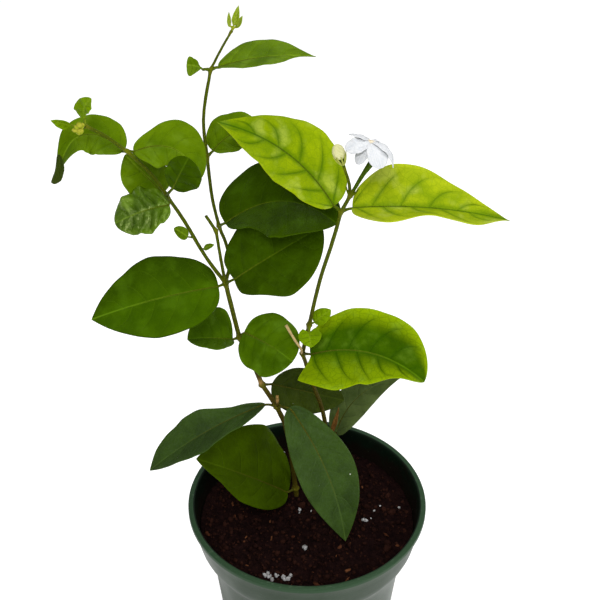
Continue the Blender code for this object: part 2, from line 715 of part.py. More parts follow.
def make_bud_calyx():
    """A cup under the bud with narrow teeth that stand off it."""
    axis = Vector(BUD_AXIS).normalized()
    side = axis.orthogonal().normalized()
    foot = Vector(BUD_MIDDLE) - axis * (BUD_LENGTH / 2 + 4.4)
    cup = tube("cup", [(foot, 0.8), (foot + axis * 1.8, 1.6), (foot + axis * 3.2, 2.0)])
    pieces = [cup]
    for k in range(TEETH):
        out = Matrix.Rotation(math.tau * k / TEETH, 3, axis) @ side
        way = (
            foot + axis * 2.4 + out * 1.3,
            foot + axis * 4.6 + out * 2.8,
            foot + axis * 6.8 + out * 4.3,
            foot + axis * 9.4 + out * 5.2,
        )
        pieces.append(tube("tooth", list(zip(way, (0.6, 0.55, 0.45, 0.2))), 4))
    return finish(unite("bud_calyx", pieces), TIP_GREEN, 0.5)


def make_bud_cluster():
    """Small round buds packed on the left branch's end."""
    place = Vector(JOINTS["branch_3"])
    buds = (
        ball(place + Vector((-2.0, -1.9, 0.8)), 1.5, 1.2, (-1, 0, 0.2), 8, 5),
        ball(place + Vector((-2.4, -3.2, 2.4)), 1.5, 1.2, (-0.4, 0, 1), 8, 5),
        ball(place + Vector((-2.5, -3.4, -1.4)), 1.7, 1.3, (-1, 0, -0.5), 8, 5),
        ball(place + Vector((-4.9, -3.4, -0.6)), 1.3, 1.3, (-1, 0, 0), 8, 5),
    )
    return finish(unite("bud_cluster_left", buds), TIP_GREEN, 0.5)


def make_dead_stub():
    place, stem, radius = joint_frame("right_1", RIGHT_RUNS)
    offsets = ((-0.5, -2.4, 2.8), (-1.1, -14.6, 15.6), (-4.2, -16.6, 22.7), (-9.8, -12.5, 31.3))
    way = [(place + Vector(p), wide) for p, wide in zip(offsets, (0.8, 0.8, 0.8, 0.9))]
    return finish(tube("dead_stub", way, 6), TAN, 0.8)


def make_bract():
    bract = Leaf(
        "right_low", (2.5, -3.5, 3), (4, -2, 19), 1.6, (0, -1, 0.2), fold=20, wave=0.3, base=0.8, stations=8,
        columns=5, stalk_radius=0.7
    )
    return finish(solid_of("dry_bract", *leaf_sections(bract)), BRACT_BROWN, 0.8)


def main():
    for old in list(bpy.data.objects):
        bpy.data.objects.remove(old)
    make_pot()
    make_soil()
    make_stem("stem_left", LEFT_RUNS)
    make_stem("stem_right", RIGHT_RUNS)
    for name, leaf in LEAVES.items():
        make_leaf(name, leaf)
    make_shoot_tip()
    make_calyx()
    make_flower()
    make_bud()
    make_bud_calyx()
    make_bud_cluster()
    make_dead_stub()
    make_bract()


main()
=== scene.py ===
"""A potted arabian jasmine in flower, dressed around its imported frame.

Lengths are millimetres from the middle of the pot's underside, +Z up, the viewer towards -Y. A mesh
is made in those millimetres and scaled to metres at its end. The joints of the stems and the run of
each leaf are the frame's own, so that every piece stays where its node is.
"""

import logging
import math
from dataclasses import dataclass
from enum import Enum
from functools import partial
from typing import Callable, Optional, Sequence, Union

import bpy
import numpy as np
from mathutils import Matrix, Vector, noise


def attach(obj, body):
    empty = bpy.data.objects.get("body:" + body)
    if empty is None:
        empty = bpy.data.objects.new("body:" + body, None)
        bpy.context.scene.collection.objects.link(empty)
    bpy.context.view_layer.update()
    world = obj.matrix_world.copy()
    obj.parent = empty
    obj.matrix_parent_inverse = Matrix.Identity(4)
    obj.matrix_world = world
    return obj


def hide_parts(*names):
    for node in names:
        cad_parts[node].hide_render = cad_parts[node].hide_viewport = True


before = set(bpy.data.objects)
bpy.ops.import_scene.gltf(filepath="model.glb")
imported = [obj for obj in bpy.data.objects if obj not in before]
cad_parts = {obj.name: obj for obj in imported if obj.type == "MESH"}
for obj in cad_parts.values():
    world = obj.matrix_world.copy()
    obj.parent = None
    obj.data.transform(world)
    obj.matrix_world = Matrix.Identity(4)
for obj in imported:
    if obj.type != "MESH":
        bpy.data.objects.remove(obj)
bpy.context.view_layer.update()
NOISE_SEED = 3

LOG = logging.getLogger("jasmine")
MM = 0.001

Colour = Sequence[float]
Point = tuple[float, float, float]
Piece = bpy.types.Object
Material = bpy.types.Material
Socket = bpy.types.NodeSocket
Value = Union[float, Colour, Socket]

DUST = (130, 146, 136)
DUST_SPECKS = (190, 196, 180)
CUT_WOOD = (176, 138, 84)
SMALL_LEAF = 8.0


class Face(Enum):
    """The two sides of a leaf, as its material slots."""

    UPPER = 0
    UNDER = 1


# Recipes for materials


def linear(colour: Colour) -> tuple[float, float, float, float]:
    """Turn a colour from 0 to 255 into the linear numbers that a shader takes."""
    parts = [c / 255 for c in colour]
    red, green, blue = (c / 12.92 if c <= 0.04045 else ((c + 0.055) / 1.055) ** 2.4 for c in parts)
    return (red, green, blue, 1.0)


def darker(colour: Colour, share: float) -> Colour:
    """Give a share of a colour."""
    return [c * share for c in colour]


class Recipe:
    """A material being mixed: a call adds a node and returns what comes out, or lays on a colour."""

    def __init__(self, name: str, ground: Colour) -> None:
        """Start a material with its one shader and its ground colour."""
        self.material = bpy.data.materials.new(name)
        self.material.use_nodes = True
        self.tree = self.material.node_tree
        self.shader = self.tree.nodes["Principled BSDF"]
        self.place = self.add("ShaderNodeTexCoord").outputs["Object"]
        self.colour: Value = ground

    def add(self, kind: str, inputs: Optional[dict] = None, **settings: object) -> bpy.types.Node:
        """Add a node.

        Args:
            kind: Blender's name for the node.
            inputs: What to feed to its sockets, by name or number.
            settings: Properties of the node itself.

        Returns:
            The new node.
        """
        node = self.tree.nodes.new(kind)
        for key, value in settings.items():
            setattr(node, key, value)
        for key, value in (inputs or {}).items():
            self.feed(node.inputs[key], value)
        return node

    def feed(self, socket: Socket, value: Value) -> None:
        """Link a socket to another one, or set its own value."""
        if isinstance(value, bpy.types.NodeSocket):
            self.tree.links.new(value, socket)
        else:
            socket.default_value = linear(value) if socket.type == "RGBA" else value

    def math(self, operation: str, *values: Value) -> Socket:
        """Work out one number from others."""
        return self.add("ShaderNodeMath", dict(enumerate(values)), operation=operation).outputs[0]

    def times(self, first: Value, *others: Value) -> Value:
        """Multiply numbers."""
        for other in others:
            first = self.math("MULTIPLY", first, other)
        return first

    def plus(self, first: Value, *others: Value) -> Value:
        """Add numbers."""
        for other in others:
            first = self.math("ADD", first, other)
        return first

    def kept(self, name: str) -> Socket:
        """Read the vector that a mesh keeps at its points."""
        return self.add("ShaderNodeAttribute", attribute_name=name).outputs["Vector"]

    def split(self, vector: Socket) -> tuple[Socket, Socket, Socket]:
        """Part a vector into its three numbers."""
        return tuple(self.add("ShaderNodeSeparateXYZ", {0: vector}).outputs)

    def drawn(self, scale: Point) -> Socket:
        """Give the place with its axes scaled, so that a pattern on it is drawn out."""
        return self.add("ShaderNodeMapping", {0: self.place, "Scale": scale}).outputs[0]

    def step(self, value: Value, low: float, high: float, top: Value = 1.0) -> Socket:
        """Rise smoothly from 0 at low to top at high, or fall where high is the lower one."""
        inputs = {"Value": value, "From Min": low, "From Max": high, "To Max": top}
        return self.add("ShaderNodeMapRange", inputs, interpolation_type="SMOOTHSTEP").outputs[0]

    def grain(self, scale: float, detail: float, rough: float = 0.55, **other: Socket) -> Socket:
        """Soft noise about one half, on the recipe's place or on another one."""
        place = other.get("place", self.place)
        inputs = {"Vector": place, "Scale": scale, "Detail": detail, "Roughness": rough}
        return self.add("ShaderNodeTexNoise", inputs).outputs["Fac"]

    def blotch(
        self, scale: float, detail: float, low: float, high: float, top: float = 1.0, **more: Value
    ) -> Socket:
        """Soft noise made into patches."""
        return self.step(self.grain(scale, detail, **more), low, high, top)

    def cells(self, scale: float, feature: str = "F1") -> Socket:
        """Distance from the middle of the nearest cell, or inside a net of cells."""
        inputs = {"Vector": self.place, "Scale": scale}
        return self.add("ShaderNodeTexVoronoi", inputs, feature=feature).outputs["Distance"]

    def net(self, scale: float, wide: float, narrow: float) -> Socket:
        """Lines between cells."""
        return self.step(self.cells(scale, "DISTANCE_TO_EDGE"), wide, narrow)

    def from_vein(self, turn: Socket) -> Socket:
        """Distance of a count of veins from the middle of the nearest one."""
        return self.math("ABSOLUTE", self.plus(self.math("FRACT", turn), -0.5))

    def coat(self, tone: Colour, *shares: Value) -> None:
        """Lay a colour over what is mixed so far, by the product of the shares."""
        inputs = {0: self.times(*shares), 6: self.colour, 7: tone}
        self.colour = self.add("ShaderNodeMix", inputs, data_type="RGBA").outputs[2]

    def bump(self, height: Socket, distance: float) -> None:
        """Raise the surface where the height is greater."""
        inputs = {"Height": height, "Distance": distance * MM, "Strength": 1.0}
        self.feed(self.shader.inputs["Normal"], self.add("ShaderNodeBump", inputs).outputs[0])

    def finish(self, roughness: Value, **uniform: Value) -> Material:
        """Close the recipe.

        Args:
            roughness: The roughness.
            uniform: Other sockets of the shader, underscores for the spaces in their names.

        Returns:
            The finished material.
        """
        for name, value in {"Base_Color": self.colour, "Roughness": roughness, **uniform}.items():
            self.feed(self.shader.inputs[name.replace("_", " ")], value)
        return self.material


@dataclass(frozen=True)
class Finish:
    """A finish by name: its material is mixed when it is first asked for."""

    name: str

    def material(self) -> Material:
        """Give the material."""
        return bpy.data.materials.get(self.name) or self.mixed()

    def mixed(self) -> Material:
        """Mix the material."""
        raise NotImplementedError


@dataclass(frozen=True)
class LeafFinish(Finish):
    """Upper side of a leaf: ground greens, pale or dark veins and their net, its gloss and painted sheen."""

    ground: Colour
    shade: Colour
    vein: Colour
    midrib: Colour
    edge: Colour
    vein_share: float = 0.24
    halo_share: float = 0.0
    net_share: float = 0.15
    edge_share: float = 0.2
    roughness: float = 0.38
    dust: float = 0.0
    gloss: float = 0.09
    side_share: float = 0.0
    rib_share: float = 0.45
    tint: Colour = (140, 176, 60)
    # Tone and share of the painted sheen patches, a painted highlight.
    sheen_tone: Colour = (92, 124, 28)
    sheen_share: float = 0.0

    def mixed(self) -> Material:
        """Mix the veins along the leaf's own directions over a ground that varies."""
        mix = Recipe(self.name, self.ground)
        mix.place = mix.kept("leaf_place")
        turn, along, across = mix.split(mix.kept("leaf_veins"))
        reach = mix.math("ABSOLUTE", across)
        from_rib = mix.math("ABSOLUTE", mix.split(mix.place)[1])
        offset = mix.plus(mix.from_vein(turn), mix.times(mix.plus(mix.grain(0.5, 2), -0.5), 0.05))
        fade = mix.times(mix.step(reach, 0.98, 0.55), mix.step(along, 0.97, 0.8))
        lateral = mix.times(mix.step(offset, 0.05, 0.012), fade)
        halo = mix.times(mix.step(offset, 0.24, 0.03), mix.step(reach, 1.1, 0.3))
        net = mix.math("MAXIMUM", mix.net(0.26, 0.075, 0.015), mix.times(mix.net(0.8, 0.09, 0.02), 0.5))
        mix.coat(self.shade, mix.blotch(0.06, 2, 0.35, 0.68))
        mix.coat(self.shade, mix.blotch(0.35, 4, 0.35, 0.75), 0.35)
        rim = mix.times(mix.step(reach, 0.45, 1.05), self.edge_share)
        if self.side_share:
            rim = mix.math("MAXIMUM", rim, mix.step(across, 0.12, -0.7, self.side_share))
        mix.coat(self.edge, rim)
        # Painted highlight: pale sheen patches that stand in for the leaf's soft reflections.
        if self.sheen_share:
            mix.coat(self.sheen_tone, mix.blotch(0.1, 3, 0.5, 0.72, self.sheen_share, rough=0.45))
        mix.coat(self.vein, mix.math("MAXIMUM", halo, mix.step(from_rib, 3.6, 0.6)), self.halo_share)
        mix.coat(self.vein, net, self.net_share)
        mix.coat(self.vein, lateral, self.vein_share)
        mix.coat(self.midrib, mix.step(from_rib, 0.75, 0.2), self.rib_share)
        # A thin line of the edge colour at the very margin: where that colour is paler than the ground, it is
        # a painted highlight along the leaf's edge.
        mix.coat(self.edge, mix.step(reach, 0.965, 0.995, 0.6))
        rough = mix.plus(mix.blotch(0.4, 5, 0.3, 0.75, 0.16), self.roughness - 0.06)
        if self.dust:
            mix.coat(DUST, mix.blotch(1.1, 6, 0.35, 0.8, self.dust, rough=0.7))
            mix.coat(DUST_SPECKS, mix.step(mix.cells(0.075), 0.035, 0.025))
        lines = mix.plus(lateral, mix.times(net, 0.35), mix.times(mix.grain(2.2, 3), -0.3))
        mix.bump(mix.times(lines, -1.0), 0.22)
        return mix.finish(rough, Specular_IOR_Level=self.gloss, Specular_Tint=self.tint)


@dataclass(frozen=True)
class UndersideFinish(Finish):
    """Lower side of a leaf: paler and matt, its veins raised."""

    ground: Colour
    vein: Colour

    def mixed(self) -> Material:
        """Mix a matt ground with raised pale veins."""
        mix = Recipe(self.name, self.ground)
        mix.place = mix.kept("leaf_place")
        turn, _, across = mix.split(mix.kept("leaf_veins"))
        fade = mix.step(mix.math("ABSOLUTE", across), 1.0, 0.4)
        lateral = mix.times(mix.step(mix.from_vein(turn), 0.06, 0.015), fade)
        lines = mix.math("MAXIMUM", lateral, mix.times(mix.net(0.5, 0.09, 0.02), 0.35))
        mix.coat(darker(self.ground, 0.8), mix.blotch(0.2, 4, 0.3, 0.75, 0.4))
        mix.coat(self.vein, lines, 0.55)
        mix.bump(lines, 0.3)
        return mix.finish(0.62, Specular_IOR_Level=0.08, Specular_Tint=(170, 190, 120))


@dataclass(frozen=True)
class StemFinish(Finish):
    """Bark of a stem or stalk: green above, browner below, paler at each joint."""

    green: Colour
    brown: Colour
    knob: Colour
    roughness: float = 0.5
    brown_below: float = 190.0
    green_above: float = 330.0

    def mixed(self) -> Material:
        """Mix the colour by height, with streaks, pores and paler joints."""
        mix = Recipe(self.name, self.brown)
        wander = mix.plus(mix.times(mix.grain(60, 3), 0.06), -0.03)
        height = mix.plus(mix.split(mix.place)[2], wander)
        mix.coat(self.green, mix.step(height, self.brown_below * MM, self.green_above * MM))
        streak = mix.blotch(1500, 4, 0.35, 0.7, place=mix.drawn((1.0, 1.0, 0.18)))
        mix.coat(darker(self.brown, 0.62), streak, 0.4)
        knob, cut, _ = mix.split(mix.kept("stem_knob"))
        mix.coat(self.knob, knob, 0.65)
        mix.coat(CUT_WOOD, cut, 0.85)
        pores = mix.step(mix.cells(900), 0.28, 0.12, 0.35)
        mix.coat([min(255, c * 1.3 + 14) for c in self.knob], pores)
        mix.bump(mix.plus(streak, mix.times(pores, 1.5)), 0.12)
        return mix.finish(self.roughness, Specular_IOR_Level=0.1, Specular_Tint=(200, 200, 120))


@dataclass(frozen=True)
class PetalFinish(Finish):
    """A petal or bud: fine lengthwise veins, thin and soft, tinted at the foot."""

    body: Colour
    shade: Colour
    foot: Colour
    foot_reach: float
    glow: float = 0.12

    def mixed(self) -> Material:
        """Mix fine lines along the petal with a tint at its foot."""
        mix = Recipe(self.name, self.body)
        mix.place = mix.kept("leaf_place")
        _, along, across = mix.split(mix.kept("leaf_veins"))
        place = mix.add("ShaderNodeCombineXYZ", {0: mix.times(along, 1.6), 1: mix.times(across, 11.0)})
        lines = mix.blotch(1.0, 3, 0.42, 0.7, place=place.outputs[0])
        mix.coat(self.shade, lines, 0.5)
        mix.coat(self.shade, mix.blotch(0.5, 2, 0.4, 0.75, 0.35))
        mix.coat(self.foot, mix.step(along, self.foot_reach, 0.02))
        mix.bump(lines, 0.08)
        soft = {"Subsurface_Radius": (0.6, 0.6, 0.6), "Subsurface_Scale": 1.5 * MM}
        return mix.finish(0.5, Specular_IOR_Level=0.1, Subsurface_Weight=self.glow, **soft)


@dataclass(frozen=True)
class PotFinish(Finish):
    """Moulded green plastic: satin, with scuffs and dust; inside, painted shade and smeared soil."""

    body: Colour
    lip: Colour
    scuff: Colour
    soil: Colour
    # Near black green for the wall inside the pot: painted shade.
    inner: Colour

    def mixed(self) -> Material:
        """Mix plastic with faint scuffs, a greener lip paler on top, painted shade inside and soil there."""
        mix = Recipe(self.name, self.body)
        x, y, height = mix.split(mix.place)
        out = mix.math("SQRT", mix.plus(mix.times(x, x), mix.times(y, y)))
        cloud = mix.grain(18, 5, 0.6)
        scratch = mix.blotch(55, 6, 0.58, 0.72, rough=0.7, place=mix.drawn((1.0, 1.0, 14.0)))
        mix.coat(darker(self.body, 0.8), mix.step(cloud, 0.35, 0.7, 0.35))
        mix.coat(self.scuff, scratch, 0.18)
        mix.coat(self.lip, mix.step(height, 135.0 * MM, 136.6 * MM))
        mix.coat(self.scuff, mix.blotch(320, 4, 0.58, 0.7, 0.35), mix.step(height, 139.2 * MM, 139.9 * MM))
        wall = mix.plus(out, mix.times(height, -0.1325))
        inside = mix.times(mix.step(wall, 54.7 * MM, 54.2 * MM), mix.step(height, 112.0 * MM, 114.0 * MM))
        # Painted shade: the wall inside the pot is coloured near black green for the shade that falls there.
        mix.coat(self.inner, inside)
        smear = mix.plus(mix.grain(90, 6, 0.65), mix.step(height, 137.0 * MM, 124.0 * MM, 0.3))
        mix.coat(self.soil, inside, mix.step(smear, 0.45, 0.8))
        mix.coat(self.scuff, mix.step(mix.cells(330), 0.1, 0.06), 0.5)
        mix.bump(mix.plus(mix.grain(700, 3), mix.times(scratch, 0.4)), 0.05)
        rough = mix.plus(mix.step(cloud, 0.3, 0.75, 0.18), 0.34)
        return mix.finish(rough, Specular_IOR_Level=0.22, Specular_Tint=(180, 205, 180))


@dataclass(frozen=True)
class SoilFinish(Finish):
    """Damp peat and bark: near black, flecked with red brown."""

    peat: Colour
    bark: Colour
    fleck: Colour
    fleck_share: float

    def mixed(self) -> Material:
        """Mix peat with clods, bark fibre and bright flecks."""
        mix = Recipe(self.name, self.peat)
        mix.coat(self.bark, mix.blotch(240, 6, 0.35, 0.7, rough=0.7))
        mix.coat(self.fleck, mix.split(mix.kept("lump_tint"))[0])
        bright = mix.step(mix.cells(420), 0.26, 0.12, self.fleck_share)
        mix.coat(self.fleck, bright, mix.blotch(70, 3, 0.5, 0.66))
        mix.bump(mix.plus(mix.grain(900, 6, 0.7), mix.cells(500)), 0.9)
        return mix.finish(0.88, Specular_IOR_Level=0.04)


@dataclass(frozen=True)
class FloorFinish(Finish):
    """Pale studio paper."""

    paper: Colour
    glow: float

    def mixed(self) -> Material:
        """Mix a paper that is almost even, and lights itself a little."""
        mix = Recipe(self.name, self.paper)
        mix.coat(darker(self.paper, 0.99), mix.grain(3, 3))
        glow = {"Emission_Color": (255, 255, 255), "Emission_Strength": self.glow}
        return mix.finish(0.95, Specular_IOR_Level=0.1, **glow)


# The pale sheen tones in the leaf finishes below are painted highlight, laid on in patches.
DEEP = LeafFinish(
    "leaf_deep_green", (48, 71, 0), (35, 54, 0), (58, 84, 2), (72, 100, 10), (54, 78, 0), net_share=0.1,
    roughness=0.3, gloss=0.14, sheen_tone=(64, 94, 8), sheen_share=0.35, rib_share=0.5
)
BROAD = LeafFinish(
    "leaf_broad_green", (64, 92, 0), (48, 74, 0), (74, 106, 8), (88, 122, 18), (74, 104, 4), net_share=0.1,
    roughness=0.32, gloss=0.16, sheen_tone=(92, 126, 30), sheen_share=0.3
)
TWO_GREENS = LeafFinish(
    "leaf_two_greens", (62, 92, 0), (50, 78, 0), (74, 104, 6), (94, 128, 20), (34, 54, 0), 0.26,
    net_share=0.1, edge_share=0.12, side_share=0.72, rib_share=0.7, gloss=0.12, sheen_tone=(78, 112, 14),
    sheen_share=0.3
)
BRIGHT = LeafFinish(
    "leaf_yellow_green", (136, 156, 6), (106, 132, 4), (70, 104, 4), (54, 90, 4), (152, 170, 14), 0.5, 0.62,
    0.22, 0.3, rib_share=0.8, sheen_tone=(176, 188, 84), sheen_share=0.35
)
# A paler copy of the yellow green above: part of its paleness is painted reflection, the light lying over
# that leaf.
BRIGHT_PALE = LeafFinish(
    "leaf_pale_yellow_green", (154, 170, 18), (118, 142, 10), (82, 116, 8), (60, 96, 8), (170, 182, 30), 0.46,
    0.55, 0.2, 0.4, rib_share=0.8, sheen_tone=(190, 198, 100), sheen_share=0.3
)
LOWER_BRIGHT = LeafFinish(
    "leaf_veined_green", (58, 88, 0), (42, 70, 0), (40, 72, 0), (84, 118, 10), (146, 172, 6), 0.5, 0.5, 0.3,
    0.75, side_share=0.5, rib_share=0.7, sheen_tone=(110, 142, 40), sheen_share=0.3
)
UPPER = LeafFinish(
    "leaf_upper_green", (84, 110, 3), (64, 90, 1), (98, 128, 14), (114, 142, 28), (96, 122, 6), 0.26,
    net_share=0.1, rib_share=0.6, gloss=0.14, sheen_tone=(112, 140, 40), sheen_share=0.35
)
GLOSSY = LeafFinish(
    "leaf_glossy_green", (80, 112, 6), (46, 72, 2), (98, 130, 22), (100, 130, 24), (84, 112, 8), 0.3,
    roughness=0.2, gloss=0.7, tint=(214, 226, 150), sheen_tone=(120, 148, 50), sheen_share=0.5
)
SHADED = LeafFinish(
    "leaf_shaded_green", (52, 64, 12), (38, 50, 6), (62, 76, 18), (66, 80, 20), (50, 62, 12), 0.2, dust=0.03
)
GREY_GREEN = LeafFinish(
    "leaf_grey_green", (88, 104, 54), (66, 82, 36), (96, 112, 56), (104, 120, 62), (80, 96, 46), 0.22,
    dust=0.06, tint=(200, 210, 190)
)
OLIVE = LeafFinish(
    "leaf_olive_green", (54, 74, 0), (42, 58, 0), (66, 88, 6), (70, 90, 10), (58, 78, 0), 0.25, roughness=0.46
)
OLD = LeafFinish(
    "leaf_old_green", (48, 70, 18), (36, 54, 12), (64, 88, 32), (76, 100, 40), (56, 80, 24), 0.26, dust=0.06,
    tint=(200, 220, 190)
)
YOUNG = LeafFinish(
    "leaf_young_green", (106, 136, 4), (86, 114, 2), (120, 148, 20), (130, 156, 30), (110, 138, 8), 0.3
)
TIP_LEAVES = LeafFinish(
    "leaf_tip_green", (132, 152, 30), (108, 132, 16), (150, 166, 60), (156, 172, 70), (140, 158, 40), 0.3
)
UNDERSIDE = UndersideFinish("leaf_underside", (90, 112, 40), (116, 136, 62))
YOUNG_UNDERSIDE = UndersideFinish("leaf_underside_young", (118, 142, 38), (138, 160, 58))
STALKS = StemFinish("leaf_stalk_green", (74, 90, 8), (68, 68, 18), (98, 108, 24))
YOUNG_STALKS = StemFinish("leaf_stalk_young", (104, 122, 18), (96, 108, 16), (120, 134, 32))
STEMS = StemFinish("stem_bark", (68, 82, 4), (68, 58, 16), (112, 114, 20))
DRY_STUB = StemFinish("dead_wood", (186, 164, 112), (176, 150, 102), (200, 182, 138), 0.75)
DRY_BRACT = StemFinish("dead_scale", (120, 84, 36), (112, 76, 34), (150, 110, 60), 0.7)
TIPS = StemFinish("bud_green", (140, 152, 30), (128, 138, 24), (172, 166, 60))
CALYX = StemFinish("calyx_green", (54, 80, 4), (54, 80, 4), (110, 130, 30))
TEETH = StemFinish("calyx_tooth", (176, 182, 84), (160, 168, 60), (196, 196, 110))
WHITE_PETAL = PetalFinish("petal_white", (208, 209, 210), (180, 187, 196), (226, 212, 184), 0.06)
CREAM_BUD = PetalFinish("bud_cream", (212, 210, 158), (190, 192, 124), (168, 180, 84), 0.3)
POT_PLASTIC = PotFinish("pot_plastic", (40, 54, 39), (42, 64, 43), (76, 92, 76), (18, 12, 8), (9, 20, 12))
PEAT = SoilFinish("soil_peat", (15, 5, 5), (30, 14, 12), (74, 42, 30), 0.1)
BARK = SoilFinish("soil_bark", (76, 42, 26), (52, 28, 18), (112, 70, 44), 0.4)
PERLITE = SoilFinish("soil_perlite", (168, 168, 168), (116, 112, 110), (200, 200, 200), 0.3)
PAPER = FloorFinish("studio_paper", (252, 252, 252), 0.42)


# Shaping helpers


def deselect() -> None:
    """Leave nothing selected, in object mode."""
    if bpy.context.object and bpy.context.object.mode != "OBJECT":
        bpy.ops.object.mode_set(mode="OBJECT")
    bpy.ops.object.select_all(action="DESELECT")


def activate(*pieces: Piece) -> None:
    """Select these pieces alone, the first one active."""
    deselect()
    for piece in pieces:
        piece.select_set(True)
    bpy.context.view_layer.objects.active = pieces[0]


def added(operator: Callable[..., object], **settings: object) -> Piece:
    """Add an object with nothing else selected."""
    deselect()
    operator(**settings)
    return bpy.context.object


def in_edit(piece: Piece, *steps: Callable[[], object]) -> None:
    """Run steps in edit mode with all of a piece selected."""
    activate(piece)
    bpy.ops.object.mode_set(mode="EDIT")
    bpy.ops.mesh.select_all(action="SELECT")
    for step in steps:
        step()
    bpy.ops.object.mode_set(mode="OBJECT")


def weld(distance: float) -> Callable[[], object]:
    """Give the edit step that merges points closer than a distance."""
    return partial(bpy.ops.mesh.remove_doubles, threshold=distance)


SELECT_ALL = partial(bpy.ops.mesh.select_all, action="SELECT")
FACE_OUTWARD = partial(bpy.ops.mesh.normals_make_consistent, inside=False)


def join(pieces: Sequence[Piece]) -> Piece:
    """Join pieces into the first one."""
    activate(*pieces)
    bpy.ops.object.join()
    return bpy.context.object


def points_of(piece: Piece) -> np.ndarray:
    """Read a mesh's points as rows."""
    found = np.empty(len(piece.data.vertices) * 3)
    piece.data.vertices.foreach_get("co", found)
    return found.reshape(-1, 3)


def set_points(piece: Piece, points: Union[np.ndarray, Sequence[Vector]]) -> None:
    """Write rows of points to a mesh."""
    piece.data.vertices.foreach_set("co", np.array(points, dtype=float).ravel())
    piece.data.update()


def shake(piece: Piece, scale: float, amount: float) -> None:
    """Move each point a little by smooth noise."""
    points = [Vector(p) for p in points_of(piece)]
    set_points(piece, [p + noise.noise_vector(p * scale) * amount for p in points])


def keep_vectors(piece: Piece, name: str, *parts: Union[float, np.ndarray]) -> None:
    """Keep a vector at each point of a mesh for its material, from its three parts."""
    rows = np.empty((len(piece.data.vertices), 3), dtype=np.float32)
    for k, part in enumerate(parts):
        rows[:, k] = part
    layer = piece.data.attributes.new(name, "FLOAT_VECTOR", "POINT")
    layer.data.foreach_set("vector", rows.ravel())


def apply(piece: Piece, kind: str, **settings: object) -> None:
    """Add a modifier and apply it."""
    activate(piece)
    modifier = piece.modifiers.new(kind.title(), kind)
    for key, value in settings.items():
        setattr(modifier, key, value)
    bpy.ops.object.modifier_apply(modifier=modifier.name)


def paint(piece: Piece, finish: Finish) -> Piece:
    """Give all of a piece one finish."""
    piece.data.materials.clear()
    piece.data.polygons.foreach_set("material_index", [0] * len(piece.data.polygons))
    piece.data.materials.append(finish.material())
    return piece


def tube(way: Sequence[Point], radii: Sequence[float], sides: int = 14, steps: int = 6) -> Piece:
    """Draw a bevelled curve through points and make it a mesh.

    Args:
        way: Points along the middle, in millimetres.
        radii: The radius at each point.
        sides: Faces around it.
        steps: Sections between two points.

    Returns:
        A closed round tube.
    """
    shape = added(bpy.ops.curve.primitive_bezier_curve_add).data
    shape.bevel_depth = 1.0
    shape.bevel_resolution = max(0, sides // 2 - 2)
    shape.resolution_u = steps
    shape.use_fill_caps = True
    spline = shape.splines[0]
    spline.bezier_points.add(len(way) - 2)
    for knot, place, radius in zip(spline.bezier_points, way, radii):
        knot.co = place
        knot.radius = radius
        knot.handle_left_type = knot.handle_right_type = "AUTO"
    bpy.ops.object.convert(target="MESH")
    in_edit(bpy.context.object, weld(1e-4), FACE_OUTWARD)
    return bpy.context.object


def egg(place: Vector, radius: float, length: float, axis: Point, segments: int, rings: int) -> Piece:
    """Add a round body, stretched along an axis to a length."""
    body = added(bpy.ops.mesh.primitive_uv_sphere_add, segments=segments, ring_count=rings, radius=1.0)
    turn = Vector((0, 0, 1)).rotation_difference(Vector(axis)).to_matrix().to_4x4()
    body.data.transform(Matrix.Translation(place) @ turn @ Matrix.Diagonal((radius, radius, length / 2, 1)))
    return body


def grown(piece: Piece, name: str, node: str, finish: Optional[Finish] = None, stands: bool = True) -> None:
    """Finish a piece: metres, smooth shading, its finish and its place in the frame.

    Args:
        piece: The piece, in millimetres at the origin.
        name: Its name.
        node: The node it is built for, hidden when the piece stands for it.
        finish: Its finish, or none to keep its own materials.
        stands: Whether it stands for that node.
    """
    piece.name = piece.data.name = name
    piece.data.transform(Matrix.Diagonal((MM, MM, MM, 1)))
    piece.data.polygons.foreach_set("use_smooth", [True] * len(piece.data.polygons))
    if finish:
        paint(piece, finish)
    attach(piece, "root")
    if stands:
        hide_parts(node)
    triangles = sum(len(face.vertices) - 2 for face in piece.data.polygons)
    LOG.info("%s: %d triangles", name, triangles)


# The stems


JOINTS: dict[str, Point] = {
    "left_foot": (-7, 20, 110), "left_low": (-7.5, 20, 130), "left_1": (-19, 20, 201),
    "left_2": (-28, 20, 219), "left_3": (-41, 20, 256), "fork": (-48, 20, 296),
    "branch_1": (-78, 14, 360), "branch_2": (-97, 10, 390), "branch_3": (-117, 5, 408),
    "bare": (-52, 18, 334), "upper_1": (-51, 29, 330), "upper_2": (-56, 30, 375),
    "upper_3": (-52, 30, 428), "top": (-40, 28, 451), "right_foot": (14, 35, 110),
    "right_low": (13, 30, 169), "right_1": (-3, 22, 242), "right_2": (1, 18, 267),
    "right_3": (18, 2, 357), "truss": (22.5, -2.5, 370), "bud_foot": (18.6, -4.9, 389.1),
}


def place_of(joint: Union[str, Point]) -> Vector:
    """Give the place of a joint by name, or of a plain point."""
    return Vector(JOINTS[joint] if isinstance(joint, str) else joint)


@dataclass(frozen=True)
class Run:
    """One stretch of stem through joints, written as names, and plain points between them."""

    way: tuple[Union[str, Point], ...]
    start: float
    end: float
    sides: int = 16

    def radius(self, k: int) -> float:
        """Give its radius at a point by number."""
        return self.start + (self.end - self.start) * k / (len(self.way) - 1)


